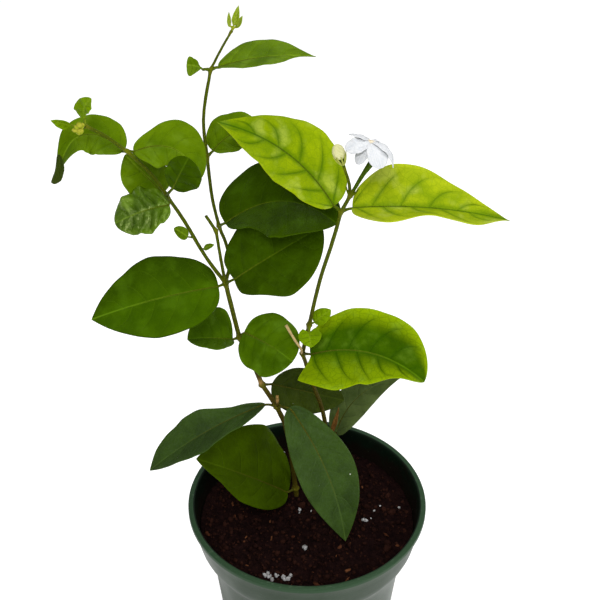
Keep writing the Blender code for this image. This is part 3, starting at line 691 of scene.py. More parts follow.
LEFT_RUNS = (
    Run(("left_foot", (-7, 20, 125), "left_low", (-14, 20, 186), "left_1", "left_2", (-33, 20, 235), "left_3",
         "fork"), 1.7, 1.4, 20),
    Run(("fork", (-59, 18, 317), (-69, 16, 341), "branch_1", (-85, 12, 374), "branch_2", (-109, 7, 402),
         "branch_3"), 1.15, 0.9),
    Run(("fork", (-50, 18.5, 314), "bare", (-57, 16, 345)), 1.0, 0.9),
    Run(("fork", (-45.5, 26, 304.5), (-47, 29, 316), "upper_1", (-54, 29.5, 347), "upper_2", (-57, 30, 398),
         "upper_3"), 1.1, 0.9),
    Run(("upper_3", (-46, 29, 440), "top"), 0.75, 0.6, 12),
    Run(("left_1", (-18.6, 17, 206), (-18.6, 15.5, 213.5)), 1.0, 0.9, 12),
)
RIGHT_RUNS = (
    Run(("right_foot", (14, 35, 126), "right_low", (9, 26, 196), (5, 25, 210), "right_1", "right_2",
         (7, 12, 304), (14, 6, 336), "right_3", "truss", (24.4, -3.3, 374.4)), 1.5, 1.0, 18),
    Run(("truss", (21.5, -4, 379), "bud_foot"), 0.9, 0.75, 12),
    Run(("truss", (20.8, -4.6, 374), (20, -5.4, 377.5)), 0.9, 0.2, 10),
    Run(("truss", (25.2, -4.4, 373), (27, -5.6, 376)), 0.9, 0.2, 10),
)
CUTS: tuple[Point, ...] = ((-18.6, 15.5, 213.5), (-18.6, 16, 210), (-29.5, 18.5, 222))


@dataclass
class Stem:
    """A stem and its branches, swollen and ringed at every joint."""

    node: str
    runs: tuple[Run, ...]
    swelling: tuple[tuple[float, float], ...] = ((3.0, 1.0), (1.3, 1.25), (0.5, 1.45))
    ring: float = 1.62
    rough: float = 0.14
    knob_reach: float = 2.6
    cut_reach: float = 1.9

    def knots(self, run: Run) -> tuple[list[Vector], list[float]]:
        """List a run's points and radii, each joint with its swelling and the ring of its scar."""
        places = [place_of(spot) for spot in run.way]
        way, radii = [], []
        for k, place in enumerate(places):
            radius = run.radius(k)
            swollen = isinstance(run.way[k], str) and not run.way[k].endswith("foot")
            if swollen and k:
                back = (places[k - 1] - place).normalized()
                way += [place + back * far for far, _ in self.swelling]
                radii += [radius * wide for _, wide in self.swelling]
            way.append(place)
            radii.append(radius * self.ring if swollen else radius)
            if swollen and k < len(places) - 1:
                ahead = (places[k + 1] - place).normalized()
                way += [place + ahead * far for far, _ in reversed(self.swelling)]
                radii += [radius * wide for _, wide in reversed(self.swelling)]
        return way, radii

    def near(self, points: np.ndarray, spots: Sequence[Point], reach: float) -> np.ndarray:
        """Give how near each point is to the nearest spot, from 0 to 1."""
        away = np.linalg.norm(points[:, None, :] - np.array(spots, float)[None], axis=2).min(axis=1)
        return np.exp(-((away / reach) ** 2))

    def build(self) -> None:
        """Build the runs, shake them a little and mark the joints for the finish."""
        stem = join([tube(*self.knots(run), run.sides, 5) for run in self.runs])
        points = points_of(stem)
        shake(stem, 0.35, self.rough)
        joints = [JOINTS[p] for run in self.runs for p in run.way if isinstance(p, str)]
        knob = self.near(points, joints, self.knob_reach)
        keep_vectors(stem, "stem_knob", knob, self.near(points, CUTS, self.cut_reach), 0)
        grown(stem, f"{self.node}_bark", self.node, STEMS)


# The leaves


@dataclass(frozen=True)
class Leaf:
    """A leaf: where it joins, its stalk, and a blade folded along its midrib, bent and waved."""

    finish: Finish
    joint: Union[str, Point]
    stalk: Point
    blade: Point
    half: float
    face: Point = (0.0, -0.6, 0.8)
    arch: float = 0.05
    bend: float = 0.0
    fold: float = 8.0
    curl: float = 0.0
    wave: float = 0.8
    waves: float = 2.5
    phase: float = 0.0
    broadest: float = 0.4
    base: float = 0.55
    point: float = 1.05
    lobe: float = 0.02
    lobe_lean: float = 0.0
    lean: float = 0.0
    hook: Point = (0.0, 0.0, 0.0)
    left_swell: Point = (1.0, 1.0, 1.0)
    right_swell: Point = (1.0, 1.0, 1.0)
    stalk_radius: float = 0.8
    veins: float = 5.5
    puff: float = 0.35
    rough_form: float = 0.45


LEAVES: dict[str, Leaf] = {
    "leaf_top_right": Leaf(
        UPPER, "upper_3", (4, 0.5, 1.5), (52, 7, 2.5), 12.5, (0.1, -0.15, 1), bend=0.02, fold=5, point=1.5,
        base=0.85, broadest=0.55, wave=0.4, left_swell=(1.3, 1.1, 1), right_swell=(0.8, 0.72, 0.25)
    ),
    "leaf_top_left": Leaf(
        UPPER, "upper_3", (-3.4, -2, 1.4), (-8.6, -2.8, 3.6), 6, arch=0.12, fold=20, lean=0.15, broadest=0.86,
        base=2.2, point=0.4, wave=0.5, veins=4, left_swell=(0.8, 0.9, 1.15), right_swell=(0.8, 0.9, 0.9)
    ),
    "leaf_far_left": Leaf(
        UPPER, "branch_2", (-3, 5, -3), (-34, -9, 1), 13, (-0.1, -0.6, 0.75), 0.1, -0.3, 10, point=1.35,
        broadest=0.36, hook=(-3, -3, -14), wave=1.0, left_swell=(1, 1.08, 1.5), right_swell=(1, 0.82, 1.3)
    ),
    "leaf_left_round": Leaf(
        UPPER, "branch_2", (3, 3, -2), (34.5, -5, -15), 13, (0, -0.55, 0.8), 0.1, 0.25, 5, lean=0.2, base=0.6,
        point=0.6, broadest=0.56, left_swell=(0.8, 1.08, 0.85), right_swell=(1.7, 1.1, 0.6)
    ),
    "leaf_left_inner": Leaf(
        DEEP, "branch_1", (4.9, -12, 11.6), (9.3, 2, 17.8), 10.3, (0, -0.8, 0.6), fold=5, lean=-0.22,
        point=0.45, veins=4, broadest=0.52, left_swell=(0.95, 1, 1.05), right_swell=(0.85, 1, 1)
    ),
    "leaf_left_lower": Leaf(
        UPPER, "branch_1", (-3, 8, -3.5), (-19, -1, 25), 14, (0, -0.8, 0.6), lean=0.15, point=0.75, base=0.5,
        veins=4.5, left_swell=(0.65, 0.85, 1)
    ),
    "leaf_crinkled": Leaf(
        GLOSSY, "branch_1", (2, -9, -0.5), (-29, -8, -7), 15.5, (-0.1, -0.55, 0.8), 0.1, curl=30, wave=1.8,
        waves=3.0, base=0.4, point=0.5, broadest=0.42, puff=1.3, rough_form=1.6, left_swell=(0.7, 0.85, 0.85)
    ),
    "leaf_behind_stem": Leaf(
        UPPER, "upper_2", (3, 5, 1), (27, 10, 9), 14, bend=0.12, point=0.8, veins=4.5,
        left_swell=(0.88, 0.88, 1), right_swell=(0.75, 0.82, 1)
    ),
    "leaf_bright_left": Leaf(
        BRIGHT, "right_3", (-4, 1, 3), (-63, 19, 41), 23, (0.15, -0.45, 0.85), 0.06, -0.09, wave=1.2,
        waves=3.0, puff=0.6, left_swell=(0.88, 0.87, 0.92), right_swell=(1.08, 0.98, 0.74)
    ),
    "leaf_bright_right": Leaf(
        BRIGHT_PALE, "right_3", (6, -1, 3), (84.5, -9, -2.5), 24, (0, -0.3, 0.97), 0.06, fold=28, wave=2.2,
        waves=1.4, phase=0.51, broadest=0.38, point=1.5, puff=0.5, left_swell=(1, 0.9, 0.78),
        right_swell=(0.95, 0.65, 1.5)
    ),
    "leaf_mid_upper": Leaf(
        DEEP, "upper_1", (4, -6, 6), (63, -15, 9), 23, (0, -0.42, 0.85), 0.06, 0.19, 14, base=0.42, point=0.5,
        lean=0.1, wave=0.7, left_swell=(0.95, 1, 0.8), right_swell=(0.95, 1.45, 1.6)
    ),
    "leaf_mid_lower": Leaf(
        DEEP, "fork", (5.5, -8, 8.5), (50.5, 8, 31), 25, (0, -0.7, 0.7), 0.06, base=0.45, point=0.65,
        lobe=0.05, puff=0.5, left_swell=(0.92, 1, 1), right_swell=(0.75, 1.08, 1.12)
    ),
    "leaf_broad_left": Leaf(
        TWO_GREENS, "fork", (-4, -3, 0), (-74, -11, -16), 25, (-0.1, -0.6, 0.8), bend=-0.01, base=0.48,
        point=0.95, broadest=0.42, wave=1.2, puff=0.5, right_swell=(0.94, 1, 1)
    ),
    "leaf_small_left": Leaf(
        BROAD, "left_3", (-4, -2, 0), (-26, -10, 8), 17, (0, -0.35, 0.93), fold=26, point=0.6, veins=4.5,
        wave=0.6, left_swell=(0.6, 0.8, 0.9), right_swell=(1.25, 1.05, 0.95)
    ),
    "leaf_round_centre": Leaf(
        BROAD, "left_3", (3, -3, 6), (29, -13, -12), 20, (0.1, -0.6, 0.8), bend=0.03, base=0.45, point=0.5,
        broadest=0.45, veins=4.5, puff=0.45, left_swell=(0.95, 0.95, 1), right_swell=(1, 0.97, 1.2)
    ),
    "leaf_bright_lower": Leaf(
        LOWER_BRIGHT, "right_1", (5, -7, 5), (68, -13, -11), 25.5, (0, -0.55, 0.85), 0.06, 0.12, base=0.42,
        point=0.68, broadest=0.5, lobe=0.14, lobe_lean=0.95, wave=1.3, puff=0.7, left_swell=(1.05, 1.05, 1.1),
        right_swell=(1.25, 0.85, 0.45)
    ),
    "leaflet_heart": Leaf(
        YOUNG, "right_2", (0, -5, -2), (1, -8, -5), 7, point=0.85, lobe=0.42, broadest=0.3, wave=0.3,
        veins=3.5
    ),
    "leaflet_behind_heart": Leaf(
        YOUNG, "right_2", (3, 4, -1), (10, 3, 7), 5, point=0.8, wave=0.2, stalk_radius=0.6, veins=3.5
    ),
    "leaf_shaded_inner": Leaf(
        SHADED, "left_2", (6, 8, -6.5), (46, 15, -26), 15.5, (0, -0.85, 0.5), -0.02, point=0.8
    ),
    "leaf_shaded_right": Leaf(
        GREY_GREEN, "right_low", (6, 10, -9.5), (43, 6, 45), 11, (0, -0.7, 0.7), bend=0.14
    ),
    "leaf_low_left": Leaf(
        OLD, "left_1", (-7, -2, 4), (-73, -20, -38), 16, (-0.3, -0.3, 0.9), bend=-0.015, fold=18, base=0.8,
        point=0.95, broadest=0.55, wave=1.3, puff=0.5, right_swell=(0.55, 0.93, 1)
    ),
    "leaf_olive_low": Leaf(
        OLIVE, "left_low", (-5, -5, 1), (-57, -15.5, 44.5), 22.5, (0, -0.5, 0.85), point=0.9, lean=-0.15,
        left_swell=(1, 1, 0.78), right_swell=(1.1, 1.36, 1.42)
    ),
    "leaf_front": Leaf(
        OLD, "left_1", (8, -8, 6), (35, -42, -74), 18.5, bend=0.06, base=0.6, point=1.0, broadest=0.5,
        wave=1.2, puff=0.5, left_swell=(0.88, 1, 0.93)
    ),
    "leaflet_upright": Leaf(
        YOUNG, "branch_3", (0.5, -2, 5.5), (5, -3, 13), 5.2, (-0.4, -0.9, 0.2), fold=12, bend=0.12, point=0.7,
        stalk_radius=0.6, veins=3.5, right_swell=(0.3, 0.8, 1)
    ),
    "leaflet_arrow": Leaf(
        YOUNG, "branch_3", (-8, 2.5, -1), (-9.5, -3, 4.5), 3.4, (-0.3, -0.8, 0.5), fold=30, base=0.9,
        point=1.0, wave=0.2, stalk_radius=0.5, veins=3.5, right_swell=(0.55, 0.55, 0.6)
    ),
    "leaflet_on_branch": Leaf(
        UPPER, (-64.4, 16.9, 330), (-3.4, -3.6, 3), (-7, -2, 7), 3.6, base=0.5, point=0.6, wave=0.1,
        stalk_radius=0.5, veins=3.5
    ),
    "leaflet_stalked": Leaf(
        UPPER, (-61, 17.6, 322), (2, -5, 3.2), (6, -2, 4.2), 1.8, base=0.7, point=0.7, wave=0.1,
        stalk_radius=0.5, veins=3.5
    ),
}
CURLS: dict[str, Leaf] = {
    "leaf_far_left": Leaf(
        SHADED, (-132.9, 4.6, 391), (0, 0, 0), (-4.8, -1.8, -16.5), 2.9, (0.2, -1, 0.1), 0.08, 0.12, 32,
        wave=0.5, base=0.5, point=0.45, broadest=0.62, veins=3, puff=0.2
    ),
}
VEIN_SLANT = 0.13
SIDE_SHIFT = 0.37


def unit(rows: np.ndarray) -> np.ndarray:
    """Scale each row to a length of one."""
    return rows / np.linalg.norm(rows, axis=1, keepdims=True)


def eased(value: np.ndarray, start: float, width: float) -> np.ndarray:
    """Rise smoothly from 0 at a start to 1 a width further on."""
    share = np.clip((value - start) / width, 0, 1)
    return share**2 * (3 - 2 * share)


class Blade:
    """A leaf's surface: along the midrib u runs from 0 to 1, across it v runs from -1 to 1."""

    def __init__(self, leaf: Leaf, heel: Vector, seed: int) -> None:
        """Set the blade's own directions at its heel."""
        self.leaf = leaf
        self.seed = seed
        self.heel = np.array(heel, float)
        run = np.array(leaf.blade, float)
        self.length = float(np.linalg.norm(run))
        self.along = run / self.length
        face = np.array(leaf.face, float)
        up = face - face.dot(self.along) * self.along
        self.up = up / np.linalg.norm(up)
        self.left = np.cross(self.up, self.along)

    def midrib(self, u: Union[float, np.ndarray]) -> np.ndarray:
        """Give points along the midrib."""
        u = np.atleast_1d(np.asarray(u, float))[:, None]
        rise = 4 * u * (1 - u)
        run = self.along * u + self.up * (self.leaf.arch * rise) + self.left * (self.leaf.bend * rise)
        hooked = np.maximum(0.0, u / 0.3 - 2.3333) ** 2
        return self.heel + run * self.length + np.array(self.leaf.hook) * hooked

    def width_share(self, u: np.ndarray) -> np.ndarray:
        """Give the half width along the blade, as a share of its broadest."""
        leaf = self.leaf
        before = (1 - (1 - np.minimum(u / leaf.broadest, 1)) ** 2) ** leaf.base
        beyond = np.clip((u - leaf.broadest) / (1 - leaf.broadest), 0, 1)
        return np.where(u < leaf.broadest, before, (1 - beyond**1.9) ** leaf.point)

    def swell(self, u: np.ndarray, v: np.ndarray) -> np.ndarray:
        """Give each side's own fullness near the heel, in the middle and near the tip."""
        early, late = eased(u, 0.15, 0.35), eased(u, 0.5, 0.35)
        swells = (self.leaf.left_swell, self.leaf.right_swell)
        sides = [near + (middle - near) * early + (far - middle) * late for near, middle, far in swells]
        return np.where(v > 0, *sides)

    def vein_turn(self, u: np.ndarray, v: np.ndarray) -> np.ndarray:
        """Count veins across the blade: each whole number and a half is the middle of one."""
        reach = np.abs(v)
        slanted = u - VEIN_SLANT * reach - VEIN_SLANT * reach**3
        return self.leaf.veins * slanted + np.where(v > 0, 0.4, 0.0) + 0.45

    def relief(self, u: np.ndarray, v: np.ndarray, across: np.ndarray) -> np.ndarray:
        """Give the surface between veins, which swells, and the groove over the midrib."""
        reach = np.abs(v)
        bed = np.exp(-(((self.vein_turn(u, v) % 1.0 - 0.5) / 0.16) ** 2))
        share = np.minimum(1, 5 * reach) * (1 - reach**4) * np.minimum(1, 8 * u) * np.minimum(1, 4 * (1 - u))
        groove = np.exp(-((across / 0.9) ** 2)) * 0.5 * (1 - u) ** 0.5
        return -self.leaf.puff * bed * share - groove * min(1.0, self.leaf.half / 12)

    def at(self, u: np.ndarray, v: np.ndarray) -> tuple[np.ndarray, np.ndarray]:
        """Give points of the surface.

        Args:
            u: Shares of the way along.
            v: Shares of the way across.

        Returns:
            The points, and the distance of each from the midrib.
        """
        leaf = self.leaf
        step = 1e-3
        along = unit(self.midrib(np.minimum(1, u + step)) - self.midrib(np.maximum(0, u - step)))
        left = unit(self.left - (along @ self.left)[:, None] * along)
        up = np.cross(along, left)
        reach = np.abs(v)
        half = leaf.half * self.width_share(u) * (1 + leaf.lean * np.sign(v)) * self.swell(u, v) * reach
        lift = np.radians(leaf.fold - leaf.curl * reach / 2)
        turns = leaf.waves * u + leaf.phase + np.where(v > 0, SIDE_SHIFT, 0.0)
        swing = np.minimum(1, 4 * u) * np.minimum(1, 3 * (1 - u))
        ripple = leaf.wave * reach**1.5 * np.sin(math.tau * turns) * swing
        small = leaf.wave * 0.22 * reach**3 * np.sin(math.tau * (2.7 * turns + 0.2)) * swing
        lobe = leaf.lobe * (1 - leaf.lobe_lean * np.sign(v))
        back = lobe * self.length * reach**1.5 * (1 - u) ** 6 * np.minimum(1, u / 0.05) ** 0.7
        side = np.copysign(half * np.cos(lift), v)
        rise = half * np.sin(lift) + ripple + small + self.relief(u, v, half)
        places = self.midrib(u) + left * side[:, None] + up * rise[:, None] - along * back[:, None]
        soft = leaf.rough_form * swing * np.minimum(1, 3 * reach)
        shift = [noise.noise(Vector(p) * 0.07 + Vector((self.seed, 0, 0))) for p in places]
        return places + up * (soft * np.array(shift))[:, None], np.copysign(half, v)

    def grid(self, columns: int, rows: int, thick: float, *finishes: Finish) -> Piece:
        """Build the blade from a grid of faces.

        Args:
            columns: Faces along it.
            rows: Faces across it.
            thick: Its thickness in millimetres.
            finishes: One for each side, or none where the whole piece is painted later.

        Returns:
            A closed thin blade.
        """
        blade = added(bpy.ops.mesh.primitive_grid_add, x_subdivisions=columns, y_subdivisions=rows, size=2)
        flat = points_of(blade)
        u = 0.5 - 0.5 * np.cos(math.pi * (flat[:, 0] + 1) / 2)
        v = np.sign(flat[:, 1]) * np.abs(flat[:, 1]) ** 1.2
        places, across = self.at(u, v)
        set_points(blade, places)
        keep_vectors(blade, "leaf_place", u * self.length, across, self.seed * 7.3)
        keep_vectors(blade, "leaf_veins", self.vein_turn(u, v), u, v)
        in_edit(blade, weld(1e-3))
        for finish in finishes:
            blade.data.materials.append(finish.material())
        offset = Face.UNDER.value - Face.UPPER.value
        apply(blade, "SOLIDIFY", thickness=thick, offset=0.0, material_offset=offset)
        return blade


@dataclass
class Foliage:
    """All leaves and leaflets: each a thin blade with its stalk running on as the rib below."""

    grid: tuple[int, int] = (84, 36)
    small_grid: tuple[int, int] = (48, 20)
    curl_grid: tuple[int, int] = (30, 14)
    thick: float = 0.45
    foot: tuple[float, ...] = (1.15, 1.25, 0.95)
    rib: tuple[tuple[float, float], ...] = (
        (0.015, 0.95), (0.08, 0.72), (0.25, 0.55), (0.45, 0.42), (0.65, 0.3), (0.85, 0.2), (0.96, 0.1)
    )

    def stalk(self, leaf: Leaf, blade: Blade) -> Piece:
        """Build the stalk, and the rib that it becomes under the blade."""
        place = place_of(leaf.joint)
        out = Vector(leaf.stalk).normalized()
        length = (Vector(blade.heel) - place).length
        radius = leaf.stalk_radius
        way = [place + out * 0.4, place + out * min(1.8, length * 0.4), place + out * length * 0.7]
        radii = [radius * share for share in self.foot]
        for u, share in self.rib:
            sink = self.thick * 0.2 + radius * share * 0.75
            way.append(Vector(blade.midrib(u)[0]) - Vector(blade.up) * sink)
            radii.append(radius * share)
        return paint(tube(way, radii, 12, 5), YOUNG_STALKS if leaf.finish is YOUNG else STALKS)

    def grow(self, node: str, leaf: Leaf, seed: int) -> None:
        """Build one leaf in place of its node."""
        blade = Blade(leaf, place_of(leaf.joint) + Vector(leaf.stalk), seed)
        under = YOUNG_UNDERSIDE if leaf.finish in (YOUNG, BRIGHT, BRIGHT_PALE) else UNDERSIDE
        faces = self.small_grid if leaf.half < SMALL_LEAF else self.grid
        pieces = [blade.grid(*faces, self.thick, leaf.finish, under), self.stalk(leaf, blade)]
        if node in CURLS:
            curl = CURLS[node]
            end = Blade(curl, place_of(curl.joint), seed + 70)
            pieces.append(end.grid(*self.curl_grid, self.thick, curl.finish, under))
        grown(join(pieces), f"{node}_blade", node)

    def build(self) -> None:
        """Build every leaf."""
        for seed, (node, leaf) in enumerate(LEAVES.items()):
            self.grow(node, leaf, seed)


# The bloom, its bud and the young tips


PETAL = partial(Leaf, WHITE_PETAL, "throat", (0, 0, 0))
SHOOT = partial(Leaf, TIP_LEAVES, "top", face=(0, -1, 0.1))


@dataclass
class Bloom:
    """The open flower on its green tube, and the bud beside it in its cup of teeth."""

    tube_way: tuple[Point, ...] = ((24.2, -3.2, 373.9), (24.6, -3.4, 374.8), (29, -5.2, 385), (33, -7, 393))
    tube_radii: tuple[float, ...] = (0.9, 0.95, 1.2, 1.8)
    neck_way: tuple[Point, ...] = (
        (33.0, -7.0, 392.6), (33.3, -7.2, 394), (33.4, -8.2, 399), (32.4, -8.8, 404.6), (32, -9, 406.8)
    )
    neck_radii: tuple[float, ...] = (1.3, 1.25, 1.3, 1.4, 1.1)
    throat: Point = (32.0, -9.0, 407.2)
    petals: tuple[Leaf, ...] = (
        PETAL((-10.6, 5.5, 0.6), 3.6, (0, 0.32, 0.95), 0.08, fold=-8, wave=0.2, base=0.7, point=0.6),
        PETAL((-12.5, -5.0, -2.6), 4.9, (-0.2, -0.5, 0.9), 0.08, fold=-8, wave=0.4, base=0.5, point=0.45,
              broadest=0.55),
        PETAL((-6.7, -7.0, -9.6), 3.8, (-0.3, -0.4, 0.8), 0.1, fold=-10, wave=0.3, base=0.6, point=0.5,
              broadest=0.6),
        PETAL((5.0, -9.5, -10.4), 5.7, (0.2, -0.5, 0.8), 0.14, fold=-8, wave=0.4, base=0.5, point=0.42,
              broadest=0.6),
        PETAL((11.5, -4.5, -13.2), 3.8, (0.8, -0.1, 0.6), 0.24, fold=-10, wave=0.3, point=0.7, broadest=0.5),
        PETAL((9.0, 3.0, -8.6), 4.2, (0.5, 0.2, 0.8), 0.14, fold=-10, wave=0.3, point=0.6),
        PETAL((1.0, 8.0, -6.6), 4.4, (0, 0.4, 0.9), 0.12, fold=-10, wave=0.3, point=0.6),
    )
    bud_middle: Point = (15.6, -6.2, 398.8)
    bud_axis: Point = (-3.4, -1.6, 11.0)
    bud_radius: float = 3.4
    bud_length: float = 9.8
    bud_lap: float = 0.05
    bud_taper: float = 0.16
    cup_drop: float = 4.4
    cup_heights: tuple[float, ...] = (-0.7, 0.5, 1.8, 3.4, 4.6)
    cup_radii: tuple[float, ...] = (0.85, 1.05, 1.45, 1.95, 2.3)
    teeth: int = 9
    tooth_radii: tuple[float, ...] = (0.4, 0.52, 0.48, 0.36, 0.14)

    def open_flower(self) -> None:
        """Build the petals, the neck below them and the green tube."""
        pieces = []
        for seed, petal in enumerate(self.petals):
            foot = Vector(self.throat) + Vector(petal.blade).normalized() * 0.6
            pieces.append(Blade(petal, foot, seed).grid(34, 18, 0.35))
        pieces.append(tube(self.neck_way, self.neck_radii, 20, 6))
        grown(join(pieces), "flower_petals_open", "flower_petals", WHITE_PETAL)
        grown(tube(self.tube_way, self.tube_radii, 20, 8), "flower_calyx_tube", "flower_calyx", CALYX)

    def closed_bud(self, axis: Vector) -> None:
        """Build the bud with its wrapped petals."""
        bud = egg(Vector((0, 0, 0)), 1.0, 2.0, (0, 0, 1), 64, 40)
        points = points_of(bud)
        height = points[:, 2]
        angle = np.arctan2(points[:, 1], points[:, 0]) + 1.1 * height
        wrap = (angle / math.tau * 4) % 1.0
        lap = self.bud_lap * (wrap - 0.5) * (1 - height**2)
        girth = (1 + lap) * (1 - self.bud_taper * np.clip(height, 0, 1) ** 2) * self.bud_radius
        sized = points * np.stack([girth, girth, np.full_like(girth, self.bud_length / 2)], 1)
        turn = np.array(Vector((0, 0, 1)).rotation_difference(axis).to_matrix())
        set_points(bud, sized @ turn.T + np.array(self.bud_middle))
        keep_vectors(bud, "leaf_place", *sized.T)
        keep_vectors(bud, "leaf_veins", wrap, (height + 1) / 2, angle / math.pi)
        grown(bud, "bud_wrapped", "bud", CREAM_BUD)

    def cup(self, axis: Vector) -> None:
        """Build the bud's cup and its narrow teeth."""
        foot = Vector(self.bud_middle) - axis * (self.bud_length / 2 + self.cup_drop)
        side = axis.orthogonal().normalized()
        pieces = [paint(tube([foot + axis * h for h in self.cup_heights], self.cup_radii, 24, 5), CALYX)]
        for k in range(self.teeth):
            out = Matrix.Rotation(math.tau * k / self.teeth, 3, axis) @ side
            shares = (0.0, 0.25, 0.5, 0.75, 1.0)
            way = [foot + axis * (0.6 + 8.0 * t) + out * (0.75 + 3.1 * t**0.75) for t in shares]
            pieces.append(paint(tube(way, self.tooth_radii, 8, 4), TEETH))
        grown(join(pieces), "bud_calyx_teeth", "bud_calyx")

    def build(self) -> None:
        """Build the flower and the bud."""
        axis = Vector(self.bud_axis).normalized()
        self.open_flower()
        self.closed_bud(axis)
        self.cup(axis)


@dataclass
class Tips:
    """Young growth: the top shoot's leaves, the buds on the left branch, the dead stub and scale."""

    shoots: tuple[Leaf, ...] = (
        SHOOT((-1.7, -1, 1.2), (0, 0, 8.2), 1.1, fold=25, wave=0.1, base=0.8),
        SHOOT((0.6, -0.8, 1.8), (2.8, -1, 11.6), 1.9, fold=20, wave=0.3, base=0.9),
        SHOOT((1.7, 0.8, -0.2), (3.4, 0, 6.8), 1.4, fold=20, wave=0.1, base=0.8),
    )
    buds: tuple[tuple[Point, float, float, Point], ...] = (
        ((-2.0, -1.9, 0.8), 1.5, 3.6, (-1, 0, 0.2)),
        ((-2.4, -3.2, 2.4), 1.5, 3.6, (-0.4, 0, 1)),
        ((-2.5, -3.4, -1.4), 1.7, 4.4, (-1, 0, -0.5)),
        ((-4.9, -3.4, -0.6), 1.3, 3.4, (-1, 0, 0)),
        ((-0.8, -2.0, 1.6), 1.0, 2.6, (-0.2, 0, 1)),
        ((-3.9, -3.6, 1.2), 1.0, 3.0, (-1, -0.3, 0.6)),
    )
    stub_way: tuple[Point, ...] = (
        (-0.2, -0.5, 0.7), (-0.5, -2.4, 2.8), (-1.1, -14.6, 15.6), (-4.2, -16.6, 22.7), (-7.2, -14.8, 27.5),
        (-9.8, -12.5, 31.3)
    )
    stub_radii: tuple[float, ...] = (0.9, 0.85, 0.75, 0.75, 0.8, 0.98)
    scale: Leaf = Leaf(
        DRY_BRACT, "right_low", (2.5, -3.5, 3), (4.6, -2, 24.5), 1.6, (0, -1, 0.2), fold=20, wave=0.3,
        base=0.8
    )

    def young_leaves(self) -> None:
        """Build the three narrow leaves at the very top."""
        place = place_of("top") + Vector((0.7, 0, 1.5))
        pieces = []
        for seed, leaf in enumerate(self.shoots):
            blade = Blade(leaf, place + Vector(leaf.stalk), seed + 40)
            pieces.append(blade.grid(24, 12, 0.4, leaf.finish, YOUNG_UNDERSIDE))
            way = (place - Vector((0.4, 0, 0.9)), place, Vector(blade.midrib(0.1)[0]))
            pieces.append(paint(tube(way, (0.75, 0.8, 0.35), 10, 4), TIPS))
        grown(join(pieces), "shoot_tip_leaves", "shoot_tip_top")

    def bud_cluster(self) -> None:
        """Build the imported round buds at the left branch's end."""
        place = place_of("branch_3")
        cluster = join([egg(place + Vector(at), *shape, 20, 14) for at, *shape in self.buds])
        knob = 0.5 + 0.5 * np.sin(points_of(cluster)[:, 2] * 2.1)
        keep_vectors(cluster, "stem_knob", knob, 0, 0)
        grown(cluster, "bud_cluster_round", "bud_cluster_left", TIPS)

    def dead_parts(self) -> None:
        """Build the bare stub, broken at its end, and the dry scale."""
        stub = tube([place_of("right_1") + Vector(p) for p in self.stub_way], self.stub_radii, 14, 5)
        shake(stub, 0.8, 0.12)
        keep_vectors(stub, "stem_knob", 0, 0, 0)
        grown(stub, "dead_stub_wood", "dead_stub", DRY_STUB)
        place, stalk = place_of(self.scale.joint), Vector(self.scale.stalk)
        blade = Blade(self.scale, place + stalk, 60)
        way = (place + stalk * 0.15, place + stalk, Vector(blade.midrib(0.3)[0]))
        pieces = [blade.grid(40, 12, 0.4), tube(way, (0.6, 0.6, 0.3), 10, 4)]
        grown(join(pieces), "dry_bract_scale", "dry_bract", DRY_BRACT)

    def build(self) -> None:
        """Build all the tips."""
        self.young_leaves()
        self.bud_cluster()
        self.dead_parts()


# The pot and its soil


@dataclass
class Pot:
    """The round nursery pot, turned from its profile, with drain holes."""

    steps: int = 176
    profile: tuple[tuple[float, float], ...] = (
        (0.0, 0.0), (49.2, 0.0), (50.6, 0.3), (51.4, 1.0), (51.8, 2.0), (53.6, 20.0), (57.0, 50.0),
        (60.3, 81.0), (61.2, 91.0), (62.4, 99.0), (63.5, 103.0), (65.2, 106.6), (67.4, 110.0), (69.5, 113.4),
        (70.5, 116.0), (71.2, 119.0), (72.3, 127.0), (73.3, 134.8), (73.7, 135.8), (74.6, 136.4),
        (75.7, 136.7), (76.2, 137.2), (76.2, 139.2), (76.0, 139.7), (75.5, 140.0), (73.0, 140.0),
        (72.4, 139.8), (72.0, 139.2), (71.4, 135.6), (69.2, 119.0), (67.6, 113.6), (63.2, 106.6),
        (60.4, 99.0), (58.3, 81.0), (55.0, 50.0), (51.6, 20.0), (49.9, 4.4), (49.2, 3.2), (48.4, 3.0),
        (0.0, 3.0),
    )
    drain_holes: int = 6
    drain_radius: float = 5.0
    drain_circle: float = 38.0
    drain_depth: float = 12.0
    smooth_under: float = 40.0

    def build(self) -> None:
        """Spin the profile and cut the drain holes."""
        pot = added(bpy.ops.mesh.primitive_plane_add, size=1)
        pot.data.clear_geometry()
        edges = [(k, k + 1) for k in range(len(self.profile) - 1)]
        pot.data.from_pydata([(r, 0.0, z) for r, z in self.profile], edges, [])
        spin = partial(bpy.ops.mesh.spin, steps=self.steps, angle=math.tau, center=(0, 0, 0), axis=(0, 0, 1))
        in_edit(pot, spin, SELECT_ALL, weld(1e-3), FACE_OUTWARD)
        for k in range(self.drain_holes):
            angle = math.tau * (k + 0.5) / self.drain_holes
            place = (self.drain_circle * math.cos(angle), self.drain_circle * math.sin(angle), 1.5)
            round_bar = partial(bpy.ops.mesh.primitive_cylinder_add, vertices=32, radius=self.drain_radius)
            cutter = added(round_bar, depth=self.drain_depth, location=place)
            apply(pot, "BOOLEAN", operation="DIFFERENCE", solver="EXACT", object=cutter)
            bpy.data.objects.remove(cutter)
        grown(pot, "pot_shell", "pot", POT_PLASTIC)
        activate(pot)
        bpy.ops.object.shade_smooth_by_angle(angle=math.radians(self.smooth_under))


@dataclass(frozen=True)
class Litter:
    """A kind of loose lumps: their shape, how their tint varies, and how high they lie, by size."""

    name: str
    finish: SoilFinish
    shape: Point
    tint: float
    rise: float


